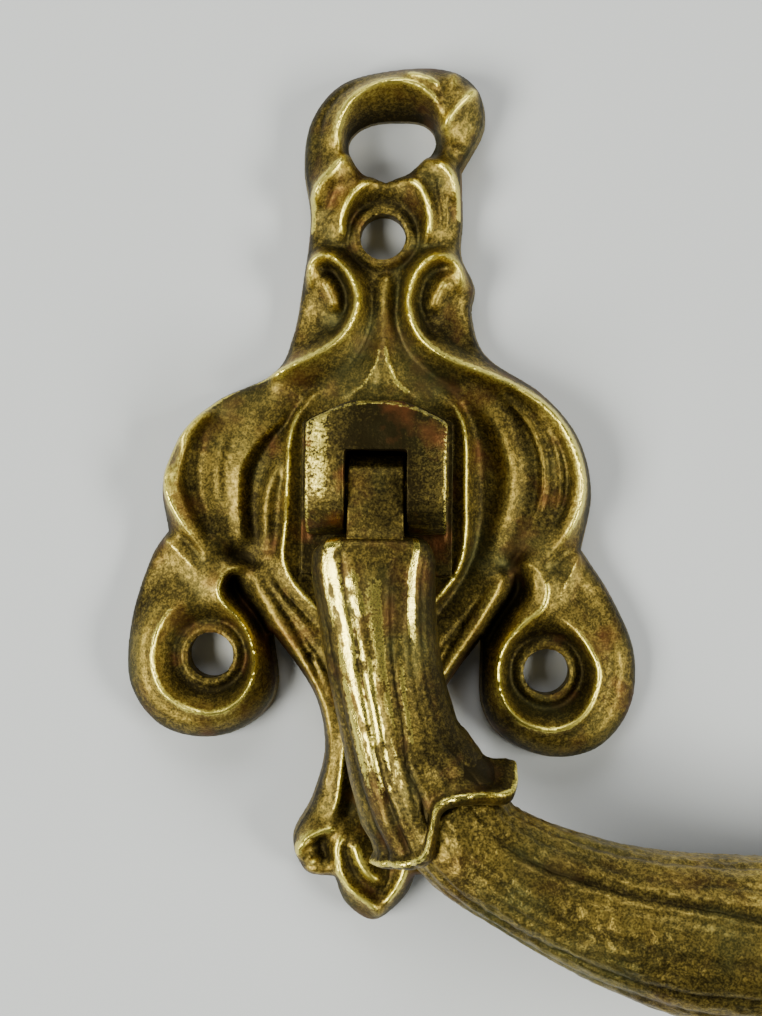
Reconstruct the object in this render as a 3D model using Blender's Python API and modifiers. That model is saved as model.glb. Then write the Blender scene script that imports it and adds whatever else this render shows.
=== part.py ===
"""A cast-brass Art Nouveau door knocker: a bail handle that swings between two scrolled backplates.

The door's face is the plane Y = 0, the knocker's front looks along -Y and +Z is up. The origin lies on
the door's face, half way between the two plates and level with the hinge pins. Lengths below are
millimetres, and finish() scales each piece to metres. The left half is modelled, and the right half is its
mirror image. The grip spans both halves.
"""

import math

import bmesh
import bpy
from mathutils import Matrix, Vector

METRES_PER_MM = 0.001

# Driving dimensions
PLATE_SPACING = 120.0  # from one plate's centre line to the other's
GAP = 0.3  # between two pieces that touch on the real knocker
SCREW_HOLE_R = 2.65  # clearance for a No. 10 wood screw
SLAB = 3.4  # height of a plate's plain ground above the door
SEAT = 4.6  # height of the flat seat that the lug stands on
POCKET = 2.6  # depth of the core pocket in a plate's back
CLEAR = 20.0  # in front of everything on a plate
PIN_R = 1.5
PIN_HEIGHT = 12.0  # from the door to the hinge pins' axis
PIN_PROUD = 0.25  # the pin's ends beyond the cheeks
PIN_BEVEL = 0.3
LUG_FRONT = 17.0
LUG_TOP = 9.7
LUG_BOTTOM = -10.0
LUG_CHAMFER = 1.0
LUG_HALF_WIDTH = 7.7
FLANGE_FRONT = 6.3  # height of the lug's base flange above the door
SLOT_HALF_WIDTH = 3.4
SLOT_FLOOR = 6.6
SLOT_TOP = 4.2
CHEEK_R = 5.0  # the cheeks' lower ends are round about the pin, so that the arm's shoulder clears them
TONGUE_R = 3.7
TONGUE_HALF_WIDTH = 3.1
TONGUE_ROOT = -8.0  # how far down the tongue runs into the arm
SHANK_R = 3.3
RIVET_HEAD_R = 4.8
RIVET_BACK = 0.2  # the rivet head's back, inside the door plane
RIVET_CONE = 0.8
WASHER_R = 6.5
WASHER_T = 0.9
TENON_R = 3.8
TENON_LENGTH = 6.5
CUP_DEPTH = 3.8
CUP_BOTTOM = (7.4, 6.0)  # half width and half depth of the calyx's cup
CUP_MOUTH = (8.4, 6.3)
GRIP_PIN_R = 1.2
GRIP_PIN_FRONT = 4.9  # from the pin's middle towards the front, where its hole is blind
GRIP_PIN_BACK = 5.9
WELD = 0.001  # vertices this close are one

LEFT_X = -PLATE_SPACING / 2

# Plate outline as (x, z) from the plate's centre line and the pin's height. True marks a sharp notch.
OUTLINE = [
    (-8.5, 31.5, False), (-9.3, 37.5, False), (-8.6, 43.0, False), (-5.2, 47.3, False),
    (0.5, 49.0, False), (7.0, 49.2, False), (10.9, 47.0, False), (11.8, 42.5, False),
    (9.2, 37.2, True), (9.4, 31.5, False), (9.3, 27.5, False), (10.9, 23.8, False),
    (10.6, 20.5, False), (12.4, 15.8, False), (18.9, 11.5, False), (23.2, 6.4, False),
    (24.8, 0.0, False), (23.7, -6.7, True), (27.3, -12.2, False), (30.0, -18.6, False),
    (29.6, -25.0, False), (26.0, -29.7, False), (20.5, -31.0, False), (15.0, -29.0, False),
    (12.2, -25.0, False), (12.0, -17.5, True), (9.1, -21.4, False), (6.8, -25.5, False),
    (6.1, -30.5, False), (7.4, -36.0, False), (9.6, -40.5, False), (8.4, -44.2, False),
    (4.8, -45.0, True), (3.4, -47.8, False), (0.0, -50.3, False), (-3.4, -48.4, False),
    (-4.8, -45.3, True), (-8.2, -44.6, False), (-9.7, -40.6, False), (-7.5, -36.0, False),
    (-6.1, -30.5, False), (-6.9, -25.2, False), (-9.1, -21.2, False), (-12.2, -17.2, True),
    (-11.7, -23.6, False), (-14.8, -27.6, False), (-20.0, -29.3, False), (-25.6, -27.8, False),
    (-29.1, -22.8, False), (-29.0, -15.5, False), (-26.8, -8.2, False), (-24.8, -5.0, True),
    (-25.5, 0.2, False), (-23.6, 5.9, False), (-19.2, 10.3, False), (-12.6, 13.6, False),
    (-10.4, 18.0, False), (-9.4, 23.5, False),
]  # fmt: skip
EYE = [
    (-3.9, 40.2), (-2.2, 42.4), (1.5, 43.1), (5.2, 42.3), (6.1, 40.6), (4.6, 38.4), (2.8, 36.5),
    (0.5, 35.5), (-2.0, 36.8),
]  # fmt: skip
SEAT_OUTLINE = [(-9.6, -10.6), (9.3, -10.6), (9.3, 11.0), (-9.6, 11.0)]
LUG_ROOM = [(-9.3, -10.3), (9.0, -10.3), (9.0, 10.7), (-9.3, 10.7)]
LUG_FLANGE = [(-8.8, -9.8), (8.5, -9.8), (8.5, 8.6), (5.4, 10.2), (-5.6, 10.2), (-8.8, 8.6)]
# The lug's arched front as (x, z). True marks a corner.
LUG_ARCH = [
    (-8.7, -11.0, True), (8.7, -11.0, True), (8.7, 5.5, True), (5.6, 9.0, False), (0.0, 9.6, False),
    (-5.6, 9.0, False), (-8.7, 5.5, True),
]  # fmt: skip
# The foot of the lug's lower side, as (distance from the door, height)
LUG_FOOT = [(6.6, -5.0), (6.2, -6.4), (5.8, -10.0)]
POCKET_OUTLINE = [
    (0.0, 13.0), (-9.5, 10.5), (-17.5, 6.0), (-20.5, -0.5), (-17.5, -6.5), (-9.5, -10.5),
    (-5.5, -15.5), (0.0, -17.0), (5.5, -15.5), (9.5, -10.5), (16.8, -6.5), (19.5, -0.5),
    (17.0, 6.0), (9.5, 10.5),
]  # fmt: skip
SCREW_HOLES = [(0.1, 29.3), (-19.3, -19.4), (19.6, -20.8)]

# Raised ridges of the relief: name, points as (x, z), radius, height of the crest above the door
RIDGES = [
    ("loop", [(-6.6, 36.0), (-6.9, 41.0), (-4.4, 45.2), (0.6, 46.4), (6.0, 46.4), (8.9, 44.4),
              (8.7, 40.8), (6.8, 38.2)], 2.1, 6.2),
    ("left_scroll", [(-6.4, 23.6), (-8.2, 25.4), (-6.4, 26.9), (-3.6, 25.3), (-2.4, 21.8),
                     (-5.0, 17.0), (-12.6, 13.0), (-19.0, 9.8), (-23.4, 4.4), (-23.6, -1.0),
                     (-19.9, -7.6)], 1.4, 6.0),
    ("right_scroll", [(7.2, 23.4), (9.0, 25.4), (6.8, 26.9), (4.2, 25.2), (3.3, 21.6), (6.0, 16.6),
                      (13.2, 12.8), (18.8, 9.8), (22.8, 4.4), (23.0, -1.0), (19.6, -7.8)], 1.4, 6.0),
    ("left_volute", [(-15.6, -9.4), (-18.0, -10.9), (-17.2, -13.6), (-14.6, -16.8), (-14.0, -20.6),
                     (-16.2, -25.2), (-20.4, -26.4), (-24.6, -23.6), (-25.9, -19.0), (-24.2, -15.0),
                     (-21.0, -12.6)], 1.3, 5.6),
    ("right_volute", [(17.0, -9.4), (19.0, -11.4), (17.6, -14.6), (14.9, -18.0), (14.2, -22.0),
                      (16.8, -26.4), (21.2, -27.9), (25.0, -25.2), (25.8, -21.0), (23.8, -17.2),
                      (20.8, -14.2)], 1.3, 5.6),
    ("left_moulding", [(-7.9, -11.6), (-10.2, -8.6), (-10.5, 5.0), (-8.4, 10.2), (-3.4, 11.6),
                       (-1.3, 13.8)], 1.15, 5.4),
    ("right_moulding", [(7.7, -11.6), (9.8, -8.6), (10.0, 5.0), (8.0, 10.2), (3.6, 11.6),
                        (1.5, 13.8)], 1.15, 5.4),
    ("ogee", [(0.1, 11.8), (0.1, 14.2), (0.1, 17.0)], 1.3, 5.0),
    ("left_strap", [(-14.2, -11.6), (-10.4, -17.8), (-6.6, -24.2), (-4.8, -30.5), (-6.0, -36.0),
                    (-7.8, -41.0)], 1.0, 4.8),
    ("right_strap", [(14.2, -11.6), (10.4, -17.8), (6.6, -24.2), (4.8, -30.5), (6.0, -36.0),
                     (7.8, -41.0)], 1.0, 4.8),
]  # fmt: skip
RIDGE_END_TAPER = 0.7
FINIAL_BEADS = [(-7.0, -41.8), (7.0, -41.8), (0.0, -46.4)]
FINIAL_BEAD_R = 2.4
FINIAL_CREST = 5.3

# Arm stations: centre (x, z), distance from the door, half width, half depth, squareness of the section
ARM = [
    (-0.1, -5.3, 12.0, 6.8, 4.9, 4.0),
    (-0.4, -9.0, 12.1, 7.1, 5.3, 3.0),
    (0.3, -14.5, 12.3, 6.7, 5.6, 2.4),
    (1.2, -19.5, 12.6, 6.4, 5.8, 2.2),
    (2.6, -24.5, 12.9, 6.5, 6.0, 2.0),
    (4.6, -29.2, 13.2, 7.3, 6.3, 2.0),
    (6.6, -33.0, 13.4, 8.6, 6.8, 2.0),
    (8.2, -35.8, 13.4, 9.6, 7.2, 2.0),
]
# Grip stations from the calyx's cup to half way: centre (x, z), distance from the door, half width and depth
GRIP = [
    (6.2, -32.9, 13.4, 6.0, 5.4),
    (8.9, -36.6, 13.4, 6.3, 5.6),
    (12.0, -39.6, 13.3, 6.3, 5.9),
    (16.2, -42.0, 13.1, 6.5, 6.4),
    (21.5, -44.4, 12.9, 7.1, 7.0),
    (27.5, -46.6, 12.8, 7.9, 7.8),
    (35.0, -48.4, 12.7, 8.9, 8.7),
    (43.0, -49.2, 12.6, 9.4, 9.3),
    (52.0, -49.5, 12.5, 9.7, 9.6),
    (60.0, -49.5, 12.5, 9.7, 9.6),
]


def clear_scene():
    for old in list(bpy.data.objects):
        bpy.data.objects.remove(old, do_unlink=True)


def brass(name, colour, roughness):
    """A Principled metal in one brass tone."""
    made = bpy.data.materials.new(name)
    made.use_nodes = True
    shader = made.node_tree.nodes["Principled BSDF"]
    shader.inputs["Base Color"].default_value = (*colour, 1.0)
    shader.inputs["Metallic"].default_value = 1.0
    shader.inputs["Roughness"].default_value = roughness
    return made


def add(name, mesh):
    made = bpy.data.objects.new(name, mesh)
    KNOCKER.objects.link(made)
    return made


def evaluated_mesh(obj):
    bpy.context.view_layer.update()
    graph = bpy.context.evaluated_depsgraph_get()
    mesh = bpy.data.meshes.new_from_object(obj.evaluated_get(graph))
    mesh.transform(obj.matrix_world)
    return mesh


def as_solid(obj):
    """Swaps an object for a mesh of its evaluated shape, with the loose caps of a curve welded on."""
    mesh = evaluated_mesh(obj)
    name = obj.name
    bpy.data.objects.remove(obj, do_unlink=True)
    work = bmesh.new()
    work.from_mesh(mesh)
    bmesh.ops.remove_doubles(work, verts=work.verts, dist=WELD)
    bmesh.ops.recalc_face_normals(work, faces=work.faces)
    work.to_mesh(mesh)
    work.free()
    return add(name, mesh)


def boolean(target, tools, operation):
    """Joins the tools to the target, or cuts them away, in one step, and takes them out of the scene."""
    for tool in tools:
        KNOCKER.objects.unlink(tool)
        TOOLS.objects.link(tool)
        tool.hide_render = True
        tool.display_type = "WIRE"
    modifier = target.modifiers.new(operation.title(), "BOOLEAN")
    modifier.operation = operation
    modifier.operand_type = "COLLECTION"
    modifier.collection = TOOLS
    modifier.use_self = True
    result = evaluated_mesh(target)
    name = target.name
    for spent in (target, *tools):
        bpy.data.objects.remove(spent, do_unlink=True)
    return add(name, result)


def spline_through(curve, points, sharp):
    """A Bezier spline through the points, smooth except at the sharp ones."""
    spline = curve.splines.new("BEZIER")
    spline.bezier_points.add(len(points) - 1)
    for knot, place, corner in zip(spline.bezier_points, points, sharp):
        knot.co = Vector(place)
        kind = "VECTOR" if corner else "AUTO"
        knot.handle_left_type = kind
        knot.handle_right_type = kind
    return spline


def prism(name, points, back, front, sharp=None):
    """A flat outline in (x, z), made solid between two distances from the door."""
    curve = bpy.data.curves.new(name, "CURVE")
    curve.dimensions = "2D"
    curve.fill_mode = "BOTH"
    curve.resolution_u = 2
    curve.extrude = (front - back) / 2
    corners = sharp or [False] * len(points)
    spline = spline_through(curve, [(x, z, 0.0) for x, z in points], corners)
    spline.use_cyclic_u = True
    made = add(name, curve)
    made.rotation_euler.x = math.radians(90)
    made.location.y = -(front + back) / 2
    return as_solid(made)


def ridge(name, points, radius, crest):
    """A round bead along the points, with its crest at a height above the door."""
    curve = bpy.data.curves.new(name, "CURVE")
    curve.dimensions = "3D"
    curve.resolution_u = 2
    curve.bevel_depth = radius
    curve.bevel_resolution = 1
    curve.use_fill_caps = True
    spline = spline_through(curve, [(x, radius - crest, z) for x, z in points], [False] * len(points))
    spline.bezier_points[0].radius = RIDGE_END_TAPER
    spline.bezier_points[-1].radius = RIDGE_END_TAPER
    return as_solid(add(name, curve))


def cylinder(name, radius, start, end, sides=24, end_radius=None):
    """A round bar or cone between two points."""
    run = Vector(end) - Vector(start)
    work = bmesh.new()
    bmesh.ops.create_cone(
        work,
        cap_ends=True,
        segments=sides,
        radius1=radius,
        radius2=(radius if end_radius is None else end_radius),
        depth=run.length,
    )
    turn = run.to_track_quat("Z", "Y").to_matrix().to_4x4()
    middle = (Vector(start) + Vector(end)) / 2
    bmesh.ops.transform(work, verts=work.verts, matrix=Matrix.Translation(middle) @ turn)
    mesh = bpy.data.meshes.new(name)
    work.to_mesh(mesh)
    work.free()
    return add(name, mesh)


def box(name, low, high):
    size = Vector(high) - Vector(low)
    middle = (Vector(high) + Vector(low)) / 2
    work = bmesh.new()
    bmesh.ops.create_cube(work, size=1.0)
    bmesh.ops.transform(
        work,
        verts=work.verts,
        matrix=Matrix.Translation(middle) @ Matrix.Diagonal((*(size), 1.0)),
    )
    mesh = bpy.data.meshes.new(name)
    work.to_mesh(mesh)
    work.free()
    return add(name, mesh)


def bead(name, x, z, radius, crest):
    """A flattened ball standing in the plate's ground."""
    work = bmesh.new()
    bmesh.ops.create_uvsphere(work, u_segments=10, v_segments=6, radius=radius)
    squeeze = Matrix.Diagonal((1.0, crest / radius / 2, 1.0, 1.0))
    place = Matrix.Translation(Vector((x, -crest / 2, z)))
    bmesh.ops.transform(work, verts=work.verts, matrix=place @ squeeze)
    mesh = bpy.data.meshes.new(name)
    work.to_mesh(mesh)
    work.free()
    return add(name, mesh)


def section(centre, across, half_width, half_depth, squareness, sides):
    """One closed ring of a loft: a superellipse that lies in the plane of `across` and the door's normal."""
    ring = []
    for step in range(sides):
        angle = 2 * math.pi * step / sides
        wide = math.copysign(abs(math.cos(angle)) ** (2 / squareness), math.cos(angle))
        deep = math.copysign(abs(math.sin(angle)) ** (2 / squareness), math.sin(angle))
        ring.append(centre + across * wide * half_width + Vector((0.0, deep * half_depth, 0.0)))
    return ring


def loft(name, stations, sides, first_across=None, mirrored=False):
    """A solid through unlike sections, each square to the line of their centres.

    first_across fixes the first section's width direction, and mirrored adds the other half of the grip.
    """
    centres = [Vector((x, -far, z)) for x, z, far, *_ in stations]
    rings = []
    for index, station in enumerate(stations):
        before = centres[max(index - 1, 0)]
        after = centres[min(index + 1, len(centres) - 1)]
        along = after - before
        along.y = 0.0
        if mirrored and index == len(stations) - 1:
            along = Vector((1.0, 0.0, 0.0))
        along.normalize()
        across = Vector((-along.z, 0.0, along.x))
        if index == 0 and first_across:
            across = Vector(first_across)
        squareness = station[5] if len(station) > 5 else 2.0
        rings.append(section(centres[index], across, station[3], station[4], squareness, sides))
    if mirrored:
        half = [[Vector((PLATE_SPACING - p.x, p.y, p.z)) for p in ring] for ring in rings[:-1]]
        rings += half[::-1]
    work = bmesh.new()
    loops = [[work.verts.new(point) for point in ring] for ring in rings]
    for near, far in zip(loops, loops[1:]):
        for side in range(sides):
            after = (side + 1) % sides
            work.faces.new((near[side], near[after], far[after], far[side]))
    work.faces.new(loops[0])
    work.faces.new(loops[-1])
    bmesh.ops.recalc_face_normals(work, faces=work.faces)
    mesh = bpy.data.meshes.new(name)
    work.to_mesh(mesh)
    work.free()
    return add(name, mesh)


def calyx_axis():
    """The centre of the calyx's rim and the direction in which the grip leaves it."""
    x, z, far = ARM[-1][:3]
    rim = Vector((x, -far, z))
    before = Vector((ARM[-2][0], -far, ARM[-2][1]))
    return rim, (rim - before).normalized()


def make_plate():
    """The cast backplate: scrolled ground, relief ridges, seat for the lug, screw holes and core pocket."""
    flat = [(x, z) for x, z, _ in OUTLINE]
    plate = prism("left_backplate", flat, 0.0, SLAB, [corner for *_, corner in OUTLINE])
    raised = [prism("seat", SEAT_OUTLINE, SLAB / 2, SEAT, [True] * len(SEAT_OUTLINE))]
    raised += [ridge(*each) for each in RIDGES]
    raised += [bead("bead", x, z, FINIAL_BEAD_R, FINIAL_CREST) for x, z in FINIAL_BEADS]
    plate = boolean(plate, raised, "UNION")
    cuts = [
        box("door", (-PLATE_SPACING, 0, -PLATE_SPACING), (PLATE_SPACING, CLEAR, PLATE_SPACING)),
        prism("lug_room", LUG_ROOM, SEAT, CLEAR, [True] * len(LUG_ROOM)),
        prism("eye", EYE, -1.0, CLEAR),
        prism("pocket", POCKET_OUTLINE, -1.0, POCKET),
        cylinder("shank_hole", SHANK_R + GAP, (0, 1, 0), (0, -CLEAR, 0)),
    ]
    cuts += [cylinder("hole", SCREW_HOLE_R, (x, 1, z), (x, -CLEAR, z)) for x, z in SCREW_HOLES]
    return boolean(plate, cuts, "DIFFERENCE")


def side_profile():
    """The lug seen from its side, as (distance from the door, height)."""
    foot = SEAT + GAP
    arc = [math.radians(step * 15) for step in range(7)]
    cheek = [(PIN_HEIGHT + CHEEK_R * math.cos(a), -CHEEK_R * math.sin(a)) for a in arc]
    top = [(foot, LUG_TOP), (LUG_FRONT - LUG_CHAMFER, LUG_TOP), (LUG_FRONT, LUG_TOP - LUG_CHAMFER)]
    return top + cheek + LUG_FOOT + [(foot, LUG_BOTTOM)]


def side_prism(name, profile, half_width):
    """A profile of (distance from the door, height), made solid to half_width on both sides."""
    work = bmesh.new()
    face = work.faces.new([work.verts.new((-half_width, -far, z)) for far, z in profile])
    grown = bmesh.ops.extrude_face_region(work, geom=[face])
    moved = [item for item in grown["geom"] if isinstance(item, bmesh.types.BMVert)]
    bmesh.ops.translate(work, verts=moved, vec=Vector((2 * half_width, 0, 0)))
    bmesh.ops.recalc_face_normals(work, faces=work.faces)
    mesh = bpy.data.meshes.new(name)
    work.to_mesh(mesh)
    work.free()
    return add(name, mesh)


def make_lug():
    """The clevis block, with its slot, its pin hole, and the shank that is riveted behind the plate."""
    lug = side_prism("left_hinge_lug", side_profile(), LUG_HALF_WIDTH)
    arch = [(x, z) for x, z, _ in LUG_ARCH]
    front = prism("arch", arch, 0.0, CLEAR, [corner for *_, corner in LUG_ARCH])
    lug = boolean(lug, [front], "INTERSECT")
    head = POCKET - GAP - WASHER_T - GAP
    added = [
        prism("flange", LUG_FLANGE, SEAT + GAP, FLANGE_FRONT, [True] * len(LUG_FLANGE)),
        cylinder("shank", SHANK_R, (0, -(SEAT + FLANGE_FRONT) / 2, 0), (0, -head + RIVET_BACK, 0)),
        cylinder("head", RIVET_HEAD_R, (0, -head, 0), (0, -RIVET_BACK, 0), 24, RIVET_HEAD_R - RIVET_CONE),
    ]
    lug = boolean(lug, added, "UNION")
    slot = SLOT_HALF_WIDTH
    cuts = [
        box("slot", (-slot, -CLEAR, 2 * LUG_BOTTOM), (slot, -SLOT_FLOOR, SLOT_TOP)),
        cylinder("bore", PIN_R + GAP, (-CLEAR, -PIN_HEIGHT, 0), (CLEAR, -PIN_HEIGHT, 0)),
    ]
    return boolean(lug, cuts, "DIFFERENCE")


def make_washer():
    """The rivet washer in the plate's core pocket."""
    back = -(POCKET - GAP)
    ring = cylinder("left_lug_washer", WASHER_R, (0, back, 0), (0, back + WASHER_T, 0), 32)
    return boolean(ring, [cylinder("hole", SHANK_R + GAP, (0, -CLEAR, 0), (0, 2, 0))], "DIFFERENCE")


def make_pin():
    """The hinge pin, a little proud of both cheeks."""
    reach = LUG_HALF_WIDTH + PIN_PROUD
    pin = cylinder("left_hinge_pin", PIN_R, (-reach, -PIN_HEIGHT, 0), (reach, -PIN_HEIGHT, 0), 20)
    bevel = pin.modifiers.new("Bevel", "BEVEL")
    bevel.width = PIN_BEVEL
    bevel.segments = 2
    return as_solid(pin)


def make_arm():
    """The arm: a flat tongue on the pin, a square shoulder, and a flared calyx with a cup for the grip."""
    arm = loft("left_arm", ARM, 20, first_across=(1.0, 0.0, 0.0))
    far = PIN_HEIGHT
    arc = [math.radians(step * 15) for step in range(13)]
    eye = [(far - TONGUE_R * math.cos(a), TONGUE_R * math.sin(a)) for a in arc]
    blade = eye + [(far + TONGUE_R, TONGUE_ROOT), (far - TONGUE_R, TONGUE_ROOT)]
    tongue = side_prism("tongue", blade, TONGUE_HALF_WIDTH)
    arm = boolean(arm, [tongue], "UNION")
    rim, along = calyx_axis()
    inner = rim - along * CUP_DEPTH
    outer = rim + along * 2.0
    cup = [
        (inner.x, inner.z, -inner.y, *CUP_BOTTOM),
        (outer.x, outer.z, -outer.y, *CUP_MOUTH),
    ]
    bottom = inner - along * (TENON_LENGTH + GAP)
    cuts = [
        cylinder("bore", PIN_R + GAP, (-CLEAR, -far, 0), (CLEAR, -far, 0)),
        loft("cup", cup, 20),
        cylinder("socket", TENON_R + GAP, bottom, outer),
        grip_pin("pin_hole", GAP),
    ]
    return boolean(arm, cuts, "DIFFERENCE")


def grip_pin(name, allowance):
    """The cross pin that holds the tenon, driven in from behind and blind at the front."""
    rim, along = calyx_axis()
    middle = rim - along * (CUP_DEPTH + TENON_LENGTH / 2)
    front = middle - Vector((0, GRIP_PIN_FRONT + allowance, 0))
    back = middle + Vector((0, GRIP_PIN_BACK + 4 * allowance, 0))
    return cylinder(name, GRIP_PIN_R + allowance, front, back, 16)


def make_grip():
    """The swelling handgrip, with a round tenon at each end."""
    rim, along = calyx_axis()
    start = rim - along * (CUP_DEPTH - GAP)
    stations = [(start.x, start.z, -start.y, *GRIP[0][3:]), *GRIP[1:]]
    grip = loft("grip", stations, 20, mirrored=True)
    tip = start - along * TENON_LENGTH
    tenon = cylinder("tenon", TENON_R, tip, start + along)
    hole = grip_pin("pin_hole", GAP)
    grip = boolean(grip, [tenon, far_end(tenon)], "UNION")
    return boolean(grip, [hole, far_end(hole)], "DIFFERENCE")


def far_end(piece):
    """A copy of a piece of the grip's left end, mirrored to its right end."""
    mesh = piece.data.copy()
    mesh.transform(Matrix.Translation((PLATE_SPACING, 0, 0)) @ MIRROR_X)
    mesh.flip_normals()
    return add(piece.name + "_far", mesh)


def finish(obj, material, origin):
    """Scales a piece to metres and gives it an origin, its material and smooth shading."""
    place = Vector(origin)
    obj.data.transform(Matrix.Scale(METRES_PER_MM, 4) @ Matrix.Translation(-place))
    obj.location = place * METRES_PER_MM
    obj.data.materials.clear()
    obj.data.materials.append(material)
    obj.data.shade_smooth()
    obj.data.set_sharp_from_angle(angle=math.radians(35))


def mirror_piece(left):
    """The same piece for the right-hand side."""
    mesh = left.data.copy()
    mesh.transform(MIRROR_X)
    mesh.flip_normals()
    return add(left.name.replace("left", "right"), mesh)


MIRROR_X = Matrix.Diagonal((-1.0, 1.0, 1.0, 1.0))

clear_scene()
KNOCKER = bpy.data.collections.new("door_knocker")
bpy.context.scene.collection.children.link(KNOCKER)
TOOLS = bpy.data.collections.new("boolean_tools")
bpy.context.scene.collection.children.link(TOOLS)

PLATE_BRASS = brass("plate_brass", (0.36, 0.25, 0.09), 0.42)
LUG_BRASS = brass("lug_brass", (0.33, 0.21, 0.08), 0.38)
BAIL_BRASS = brass("bail_brass", (0.40, 0.29, 0.11), 0.34)
PIN_BRASS = brass("pin_brass", (0.45, 0.33, 0.13), 0.30)

# Pieces that stay on the door turn about nothing, and the bail's pieces turn about the hinge pins.
DOOR_POINT = (0.0, 0.0, 0.0)
HINGE_POINT = (0.0, -PIN_HEIGHT, 0.0)
LEFT_PIECES = [
    (make_plate, PLATE_BRASS, DOOR_POINT),
    (make_lug, LUG_BRASS, DOOR_POINT),
    (make_washer, PIN_BRASS, DOOR_POINT),
    (make_pin, PIN_BRASS, HINGE_POINT),
    (make_arm, BAIL_BRASS, HINGE_POINT),
    (lambda: grip_pin("left_grip_pin", 0.0), PIN_BRASS, HINGE_POINT),
]
for make, material, origin in LEFT_PIECES:
    left = make()
    left.data.transform(Matrix.Translation((LEFT_X, 0, 0)))
    right = mirror_piece(left)
    finish(left, material, origin)
    finish(right, material, origin)

handgrip = make_grip()
handgrip.data.transform(Matrix.Translation((LEFT_X, 0, 0)))
finish(handgrip, BAIL_BRASS, HINGE_POINT)
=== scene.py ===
import math

import bmesh
import bpy
import numpy as np
from mathutils import Matrix, Vector, geometry, noise


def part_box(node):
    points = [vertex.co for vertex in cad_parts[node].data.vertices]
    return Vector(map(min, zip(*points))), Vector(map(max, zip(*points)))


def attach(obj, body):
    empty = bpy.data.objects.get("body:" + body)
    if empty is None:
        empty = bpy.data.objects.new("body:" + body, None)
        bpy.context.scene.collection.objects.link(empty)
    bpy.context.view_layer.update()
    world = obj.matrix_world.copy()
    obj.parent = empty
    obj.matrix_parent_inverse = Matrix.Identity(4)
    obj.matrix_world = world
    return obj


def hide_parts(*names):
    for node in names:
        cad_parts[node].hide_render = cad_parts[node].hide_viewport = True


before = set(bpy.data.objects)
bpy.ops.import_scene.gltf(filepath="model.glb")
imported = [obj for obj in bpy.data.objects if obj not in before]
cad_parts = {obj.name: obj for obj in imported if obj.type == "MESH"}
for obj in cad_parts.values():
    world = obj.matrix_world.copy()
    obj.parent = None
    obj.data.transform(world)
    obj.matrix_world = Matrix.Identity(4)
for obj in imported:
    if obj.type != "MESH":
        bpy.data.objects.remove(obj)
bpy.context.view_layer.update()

# Every length below is in millimetres, in one plate's own frame: x from the plate's centre line, z from the
# hinge pin, and heights above the door. piece() takes a finished mesh to the frame's metres. The stage, the
# lights and the camera are in metres.
MM = 0.001


def centre_of(node):
    low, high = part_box(node)
    return (low + high) / 2 / MM


PLATE_X = centre_of("left_hinge_pin").x
PIN_FAR = -centre_of("left_hinge_pin").y
SPACING = centre_of("right_hinge_pin").x - PLATE_X


# ---- curves


def catmull_rom(before, a, b, after, t):
    """The place at t, from 0 to 1, on the spline's way from a to b."""
    return 0.5 * (
        2 * a
        + (b - before) * t
        + (2 * before - 5 * a + 4 * b - after) * t**2
        + (3 * a - before - 3 * b + after) * t**3
    )


def smooth_line(points, step, closed=False, sharp=()):
    """A Catmull-Rom line through the points, of any dimension, sampled about every `step` mm.

    `sharp` lists the indexes of the points where the line turns a corner.
    """
    pts = np.array(points, float)
    count = len(pts)
    out = []
    for i in range(count if closed else count - 1):
        a, b = pts[i], pts[(i + 1) % count]
        before = pts[i - 1] if (closed or i > 0) else 2 * a - b
        after = pts[(i + 2) % count] if (closed or i + 2 < count) else 2 * b - a
        if i in sharp:
            before = 2 * a - b
        if (i + 1) % count in sharp:
            after = 2 * b - a
        n = max(2, int(math.ceil(np.linalg.norm((b - a)[:2]) / step)))
        out.append(catmull_rom(before, a, b, after, (np.arange(n) / n)[:, None]))
    if not closed:
        out.append(pts[-1:])
    return np.concatenate(out)


def along_curve(rows, at):
    """Catmull-Rom values of evenly spaced rows at fractions 0..1 of the way along."""
    rows = np.array(rows, float)
    place = np.clip(np.asarray(at, float), 0, 1) * (len(rows) - 1)
    i = np.minimum(place.astype(int), len(rows) - 2)
    t = place - i
    if rows.ndim > 1:
        t = t[:, None]
    wide = np.concatenate([[2 * rows[0] - rows[1]], rows, [2 * rows[-1] - rows[-2]]])
    return catmull_rom(wide[i], wide[i + 1], wide[i + 2], wide[i + 3], t)


def smooth_step(low, high, value):
    t = np.clip((value - low) / (high - low), 0, 1)
    return t * t * (3 - 2 * t)


def distance_to_line(x, z, line, closed=False):
    """Distance from each (x, z) to a sampled line, with the index of the nearest sample."""
    best = np.full(x.shape, 1e9)
    where = np.zeros(x.shape, int)
    ends = np.roll(line, -1, axis=0) if closed else line[1:]
    starts = line if closed else line[:-1]
    for i, (a, b) in enumerate(zip(starts[:, :2], ends[:, :2])):
        dx, dz = b - a
        t = np.clip(((x - a[0]) * dx + (z - a[1]) * dz) / (dx * dx + dz * dz + 1e-12), 0, 1)
        d = (x - a[0] - t * dx) ** 2 + (z - a[1] - t * dz) ** 2
        near = d < best
        best[near] = d[near]
        where[near] = i
    return np.sqrt(best), where


def inside(x, z, line):
    """True where (x, z) lies inside a closed line, by counting crossings."""
    found = np.zeros(x.shape, bool)
    ends = np.roll(line, -1, axis=0)
    for (ax, az), (bx, bz) in zip(line[:, :2], ends[:, :2]):
        if az != bz:
            crosses = (az > z) != (bz > z)
            found ^= crosses & (x < (bx - ax) * (z - az) / (bz - az) + ax)
    return found


# ---- meshes


def add_object(name, data):
    made = bpy.data.objects.new(name, data)
    bpy.context.scene.collection.objects.link(made)
    return made


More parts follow.
